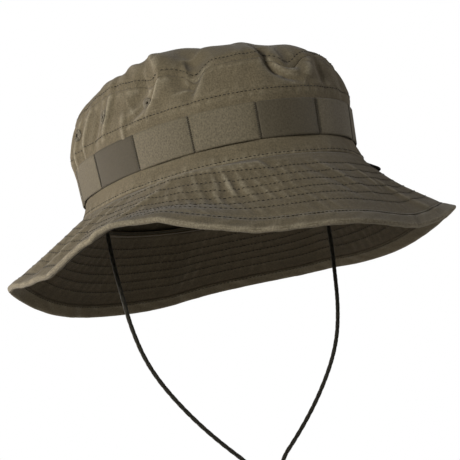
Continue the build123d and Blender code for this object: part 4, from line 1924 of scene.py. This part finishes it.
    def make_bight(self, pattern: HatPattern) -> bpy.types.Object:
        """Double the cord's spare end over, where it stands out of the seam by the left temple.

        Args:
            pattern: The hat's pattern, for the bight's seat.

        Returns:
            The bight.
        """
        across = pattern.length_at(self.bight_azimuth)
        seat = pattern.oval(np.array(across), 3.8, 1.6)
        turn = math.radians(self.bight_azimuth)
        outward = np.array([math.sin(turn), -math.cos(turn), 0.0])
        fall = math.radians(self.bight_droop)
        ahead = outward * math.cos(fall) - np.array([0, 0, math.sin(fall)])
        sideways = np.cross(outward, [0, 0, 1.0])
        bend, straight = 1.4, self.bight_reach - 2.7
        around = np.linspace(math.pi, 0, 25)
        arc = [(bend * math.cos(a), straight + bend * math.sin(a)) for a in around]
        loop = [(-bend, 0.2), *arc, (bend, 0.2)]
        line = np.array([seat + sideways * a + ahead * b for a, b in loop])
        points, faces, grain, painted_shade, _ = Braid(radius=1.3, step=0.35).tube(line)
        node = "left_cord_bight"
        return add_piece("spare_cord_bight", points, faces, CORD_BRAID, Body.HAT, (node,), grain, painted_shade)

    def dress_lock(self) -> None:
        """Give the lock's barrel, button and spring their finishes."""
        finishes = {
            "cord_lock_barrel": LOCK_PLASTIC,
            "cord_lock_button": LOCK_PLASTIC,
            "cord_lock_spring": SPRING_WIRE,
        }
        for node, finish in finishes.items():
            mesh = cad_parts[node].data
            mesh.materials.clear()
            mesh.materials.append(finish.material())
            log.info("%s: dressed", node)

    def build(self, pattern: HatPattern) -> None:
        """Make the cord's pieces.

        Args:
            pattern: The hat's pattern, for the bight's seat.
        """
        knot = self.make_knot()
        for side in Side:
            strand, path = self.make_strand(side)
            self.make_tab(side)
        self.make_bight(pattern)
        self.dress_lock()


# ------------------------------------------------------------------------------------------- studio


@dataclass(frozen=True)
class Softbox:
    """A soft light on a stand, by its bearing round the hat."""

    name: str
    azimuth: float
    elevation: float
    distance: float
    size: tuple[float, float]
    power: float
    colour: Colour = (1.0, 1.0, 1.0)
    spread: float = 70.0

    def place(self, aim: np.ndarray) -> None:
        """Set the light up so that it faces the aim.

        Args:
            aim: The point that it faces, in metres.
        """
        turn, rise = math.radians(self.azimuth), math.radians(self.elevation)
        away = np.array(
            [math.sin(turn) * math.cos(rise), -math.cos(turn) * math.cos(rise), math.sin(rise)]
        )
        data = bpy.data.lights.new(self.name, "AREA")
        data.shape = "RECTANGLE"
        data.size, data.size_y = self.size
        data.energy = self.power
        data.spread = math.radians(self.spread)
        data.color = self.colour
        made = bpy.data.objects.new(self.name, data)
        bpy.context.collection.objects.link(made)
        side = unit(np.cross([0.0, 0.0, 1.0], away))
        rows = np.stack([side, np.cross(away, side), away], axis=1)
        place = Matrix(rows.tolist()).to_4x4()
        place.translation = (aim + away * self.distance).tolist()
        made.matrix_world = place


@dataclass
class Studio:
    """The camera, the pale floor and the soft light."""

    azimuth: float = -32.66
    elevation: float = -10.69
    roll: float = -10.76
    distance: float = 1.28
    lens: float = 141.3
    shift: tuple[float, float] = (0.0113, -0.075)
    floor_height: float = -0.42
    softboxes: tuple[Softbox, ...] = (
        Softbox("key_softbox", -64.0, 10.0, 1.5, (0.4, 0.4), 3.0),
        Softbox("front_softbox", -10.0, 4.0, 1.8, (0.9, 0.9), 0.45),
        Softbox("right_rim_strip", -140.0, 2.0, 1.3, (0.25, 0.5), 7.0, (1.0, 0.93, 0.87), 130.0),
        Softbox("left_rim_strip", 80.0, 10.0, 1.3, (0.3, 0.5), 2.4, (1.0, 0.95, 0.90), 130.0),
        Softbox("top_softbox", 170.0, 72.0, 1.6, (1.0, 1.0), 0.6, (1.0, 1.0, 1.0), 150.0),
    )

    def place_camera(self) -> None:
        """Set up the camera."""
        turn, rise, roll = (math.radians(a) for a in (self.azimuth, self.elevation, self.roll))
        back = np.array([math.sin(turn) * math.cos(rise), -math.cos(turn) * math.cos(rise), math.sin(rise)])
        level = np.array([math.cos(turn), math.sin(turn), 0.0])
        upright = np.cross(back, level)
        right = math.cos(roll) * level + math.sin(roll) * upright
        top = -math.sin(roll) * level + math.cos(roll) * upright
        data = bpy.data.cameras.new("camera")
        data.lens = self.lens
        data.shift_x, data.shift_y = self.shift
        camera = bpy.data.objects.new("camera", data)
        bpy.context.collection.objects.link(camera)
        place = Matrix(np.stack([right, top, back], axis=1).tolist()).to_4x4()
        place.translation = (back * self.distance).tolist()
        camera.matrix_world = place
        bpy.context.scene.camera = camera

    def lay_floor(self) -> None:
        """Lay a plain pale floor."""
        half, height = 6.0, self.floor_height
        corners = [(-half, -half, height), (half, -half, height), (half, half, height), (-half, half, height)]
        mesh = bpy.data.meshes.new("studio_floor")
        mesh.from_pydata(corners, [], [(0, 1, 2, 3)])
        material = bpy.data.materials.new("pale_paper")
        material.use_nodes = True
        graph = Graph(material.node_tree)
        shader = graph.node("BsdfPrincipled", {"Base Color": (0.75, 0.75, 0.74, 1.0), "Roughness": 0.9})
        graph.node("OutputMaterial", {0: shader.outputs[0]})
        mesh.materials.append(material)
        floor = bpy.data.objects.new("studio_floor", mesh)
        bpy.context.collection.objects.link(floor)

    def light(self) -> None:
        """Put up the softboxes and a white surround that itself gives only a little light."""
        world = bpy.data.worlds.new("studio")
        world.use_nodes = True
        bpy.context.scene.world = world
        graph = Graph(world.node_tree)
        path = graph.node("LightPath")
        seen = graph.node("Background", {0: (1.0, 1.0, 1.0, 1.0), 1: 1.0})
        rising = graph.node("SeparateXYZ", {0: graph.node("TexCoord").outputs["Generated"]}).outputs[2]
        strength = graph.node("MapRange", {0: rising, 1: -0.3, 2: 0.8, 3: 0.005, 4: 0.08}).outputs[0]
        given = graph.node("Background", {0: (1.0, 1.0, 1.0, 1.0), 1: strength})
        inputs = {0: path.outputs["Is Camera Ray"], 1: given.outputs[0], 2: seen.outputs[0]}
        graph.node("OutputWorld", {0: graph.node("MixShader", inputs).outputs[0]})
        bpy.context.scene.view_settings.view_transform = "Standard"
        aim = np.array([0.0, 0.0, 0.02])
        for softbox in self.softboxes:
            softbox.place(aim)

    def build(self) -> None:
        """Set up the whole studio."""
        self.place_camera()
        self.lay_floor()
        self.light()


def main() -> None:
    """Set up the studio, then make the cord, the crown, the webbing and the brim."""
    logging.basicConfig(level=logging.INFO, format="%(name)s: %(message)s")
    Studio().build()
    pattern = HatPattern()
    ChinCord().build(pattern)
    Crown(pattern).build()
    WebbingBand(pattern).build()
    Brim(pattern).build()


if __name__ == "__main__":
    main()
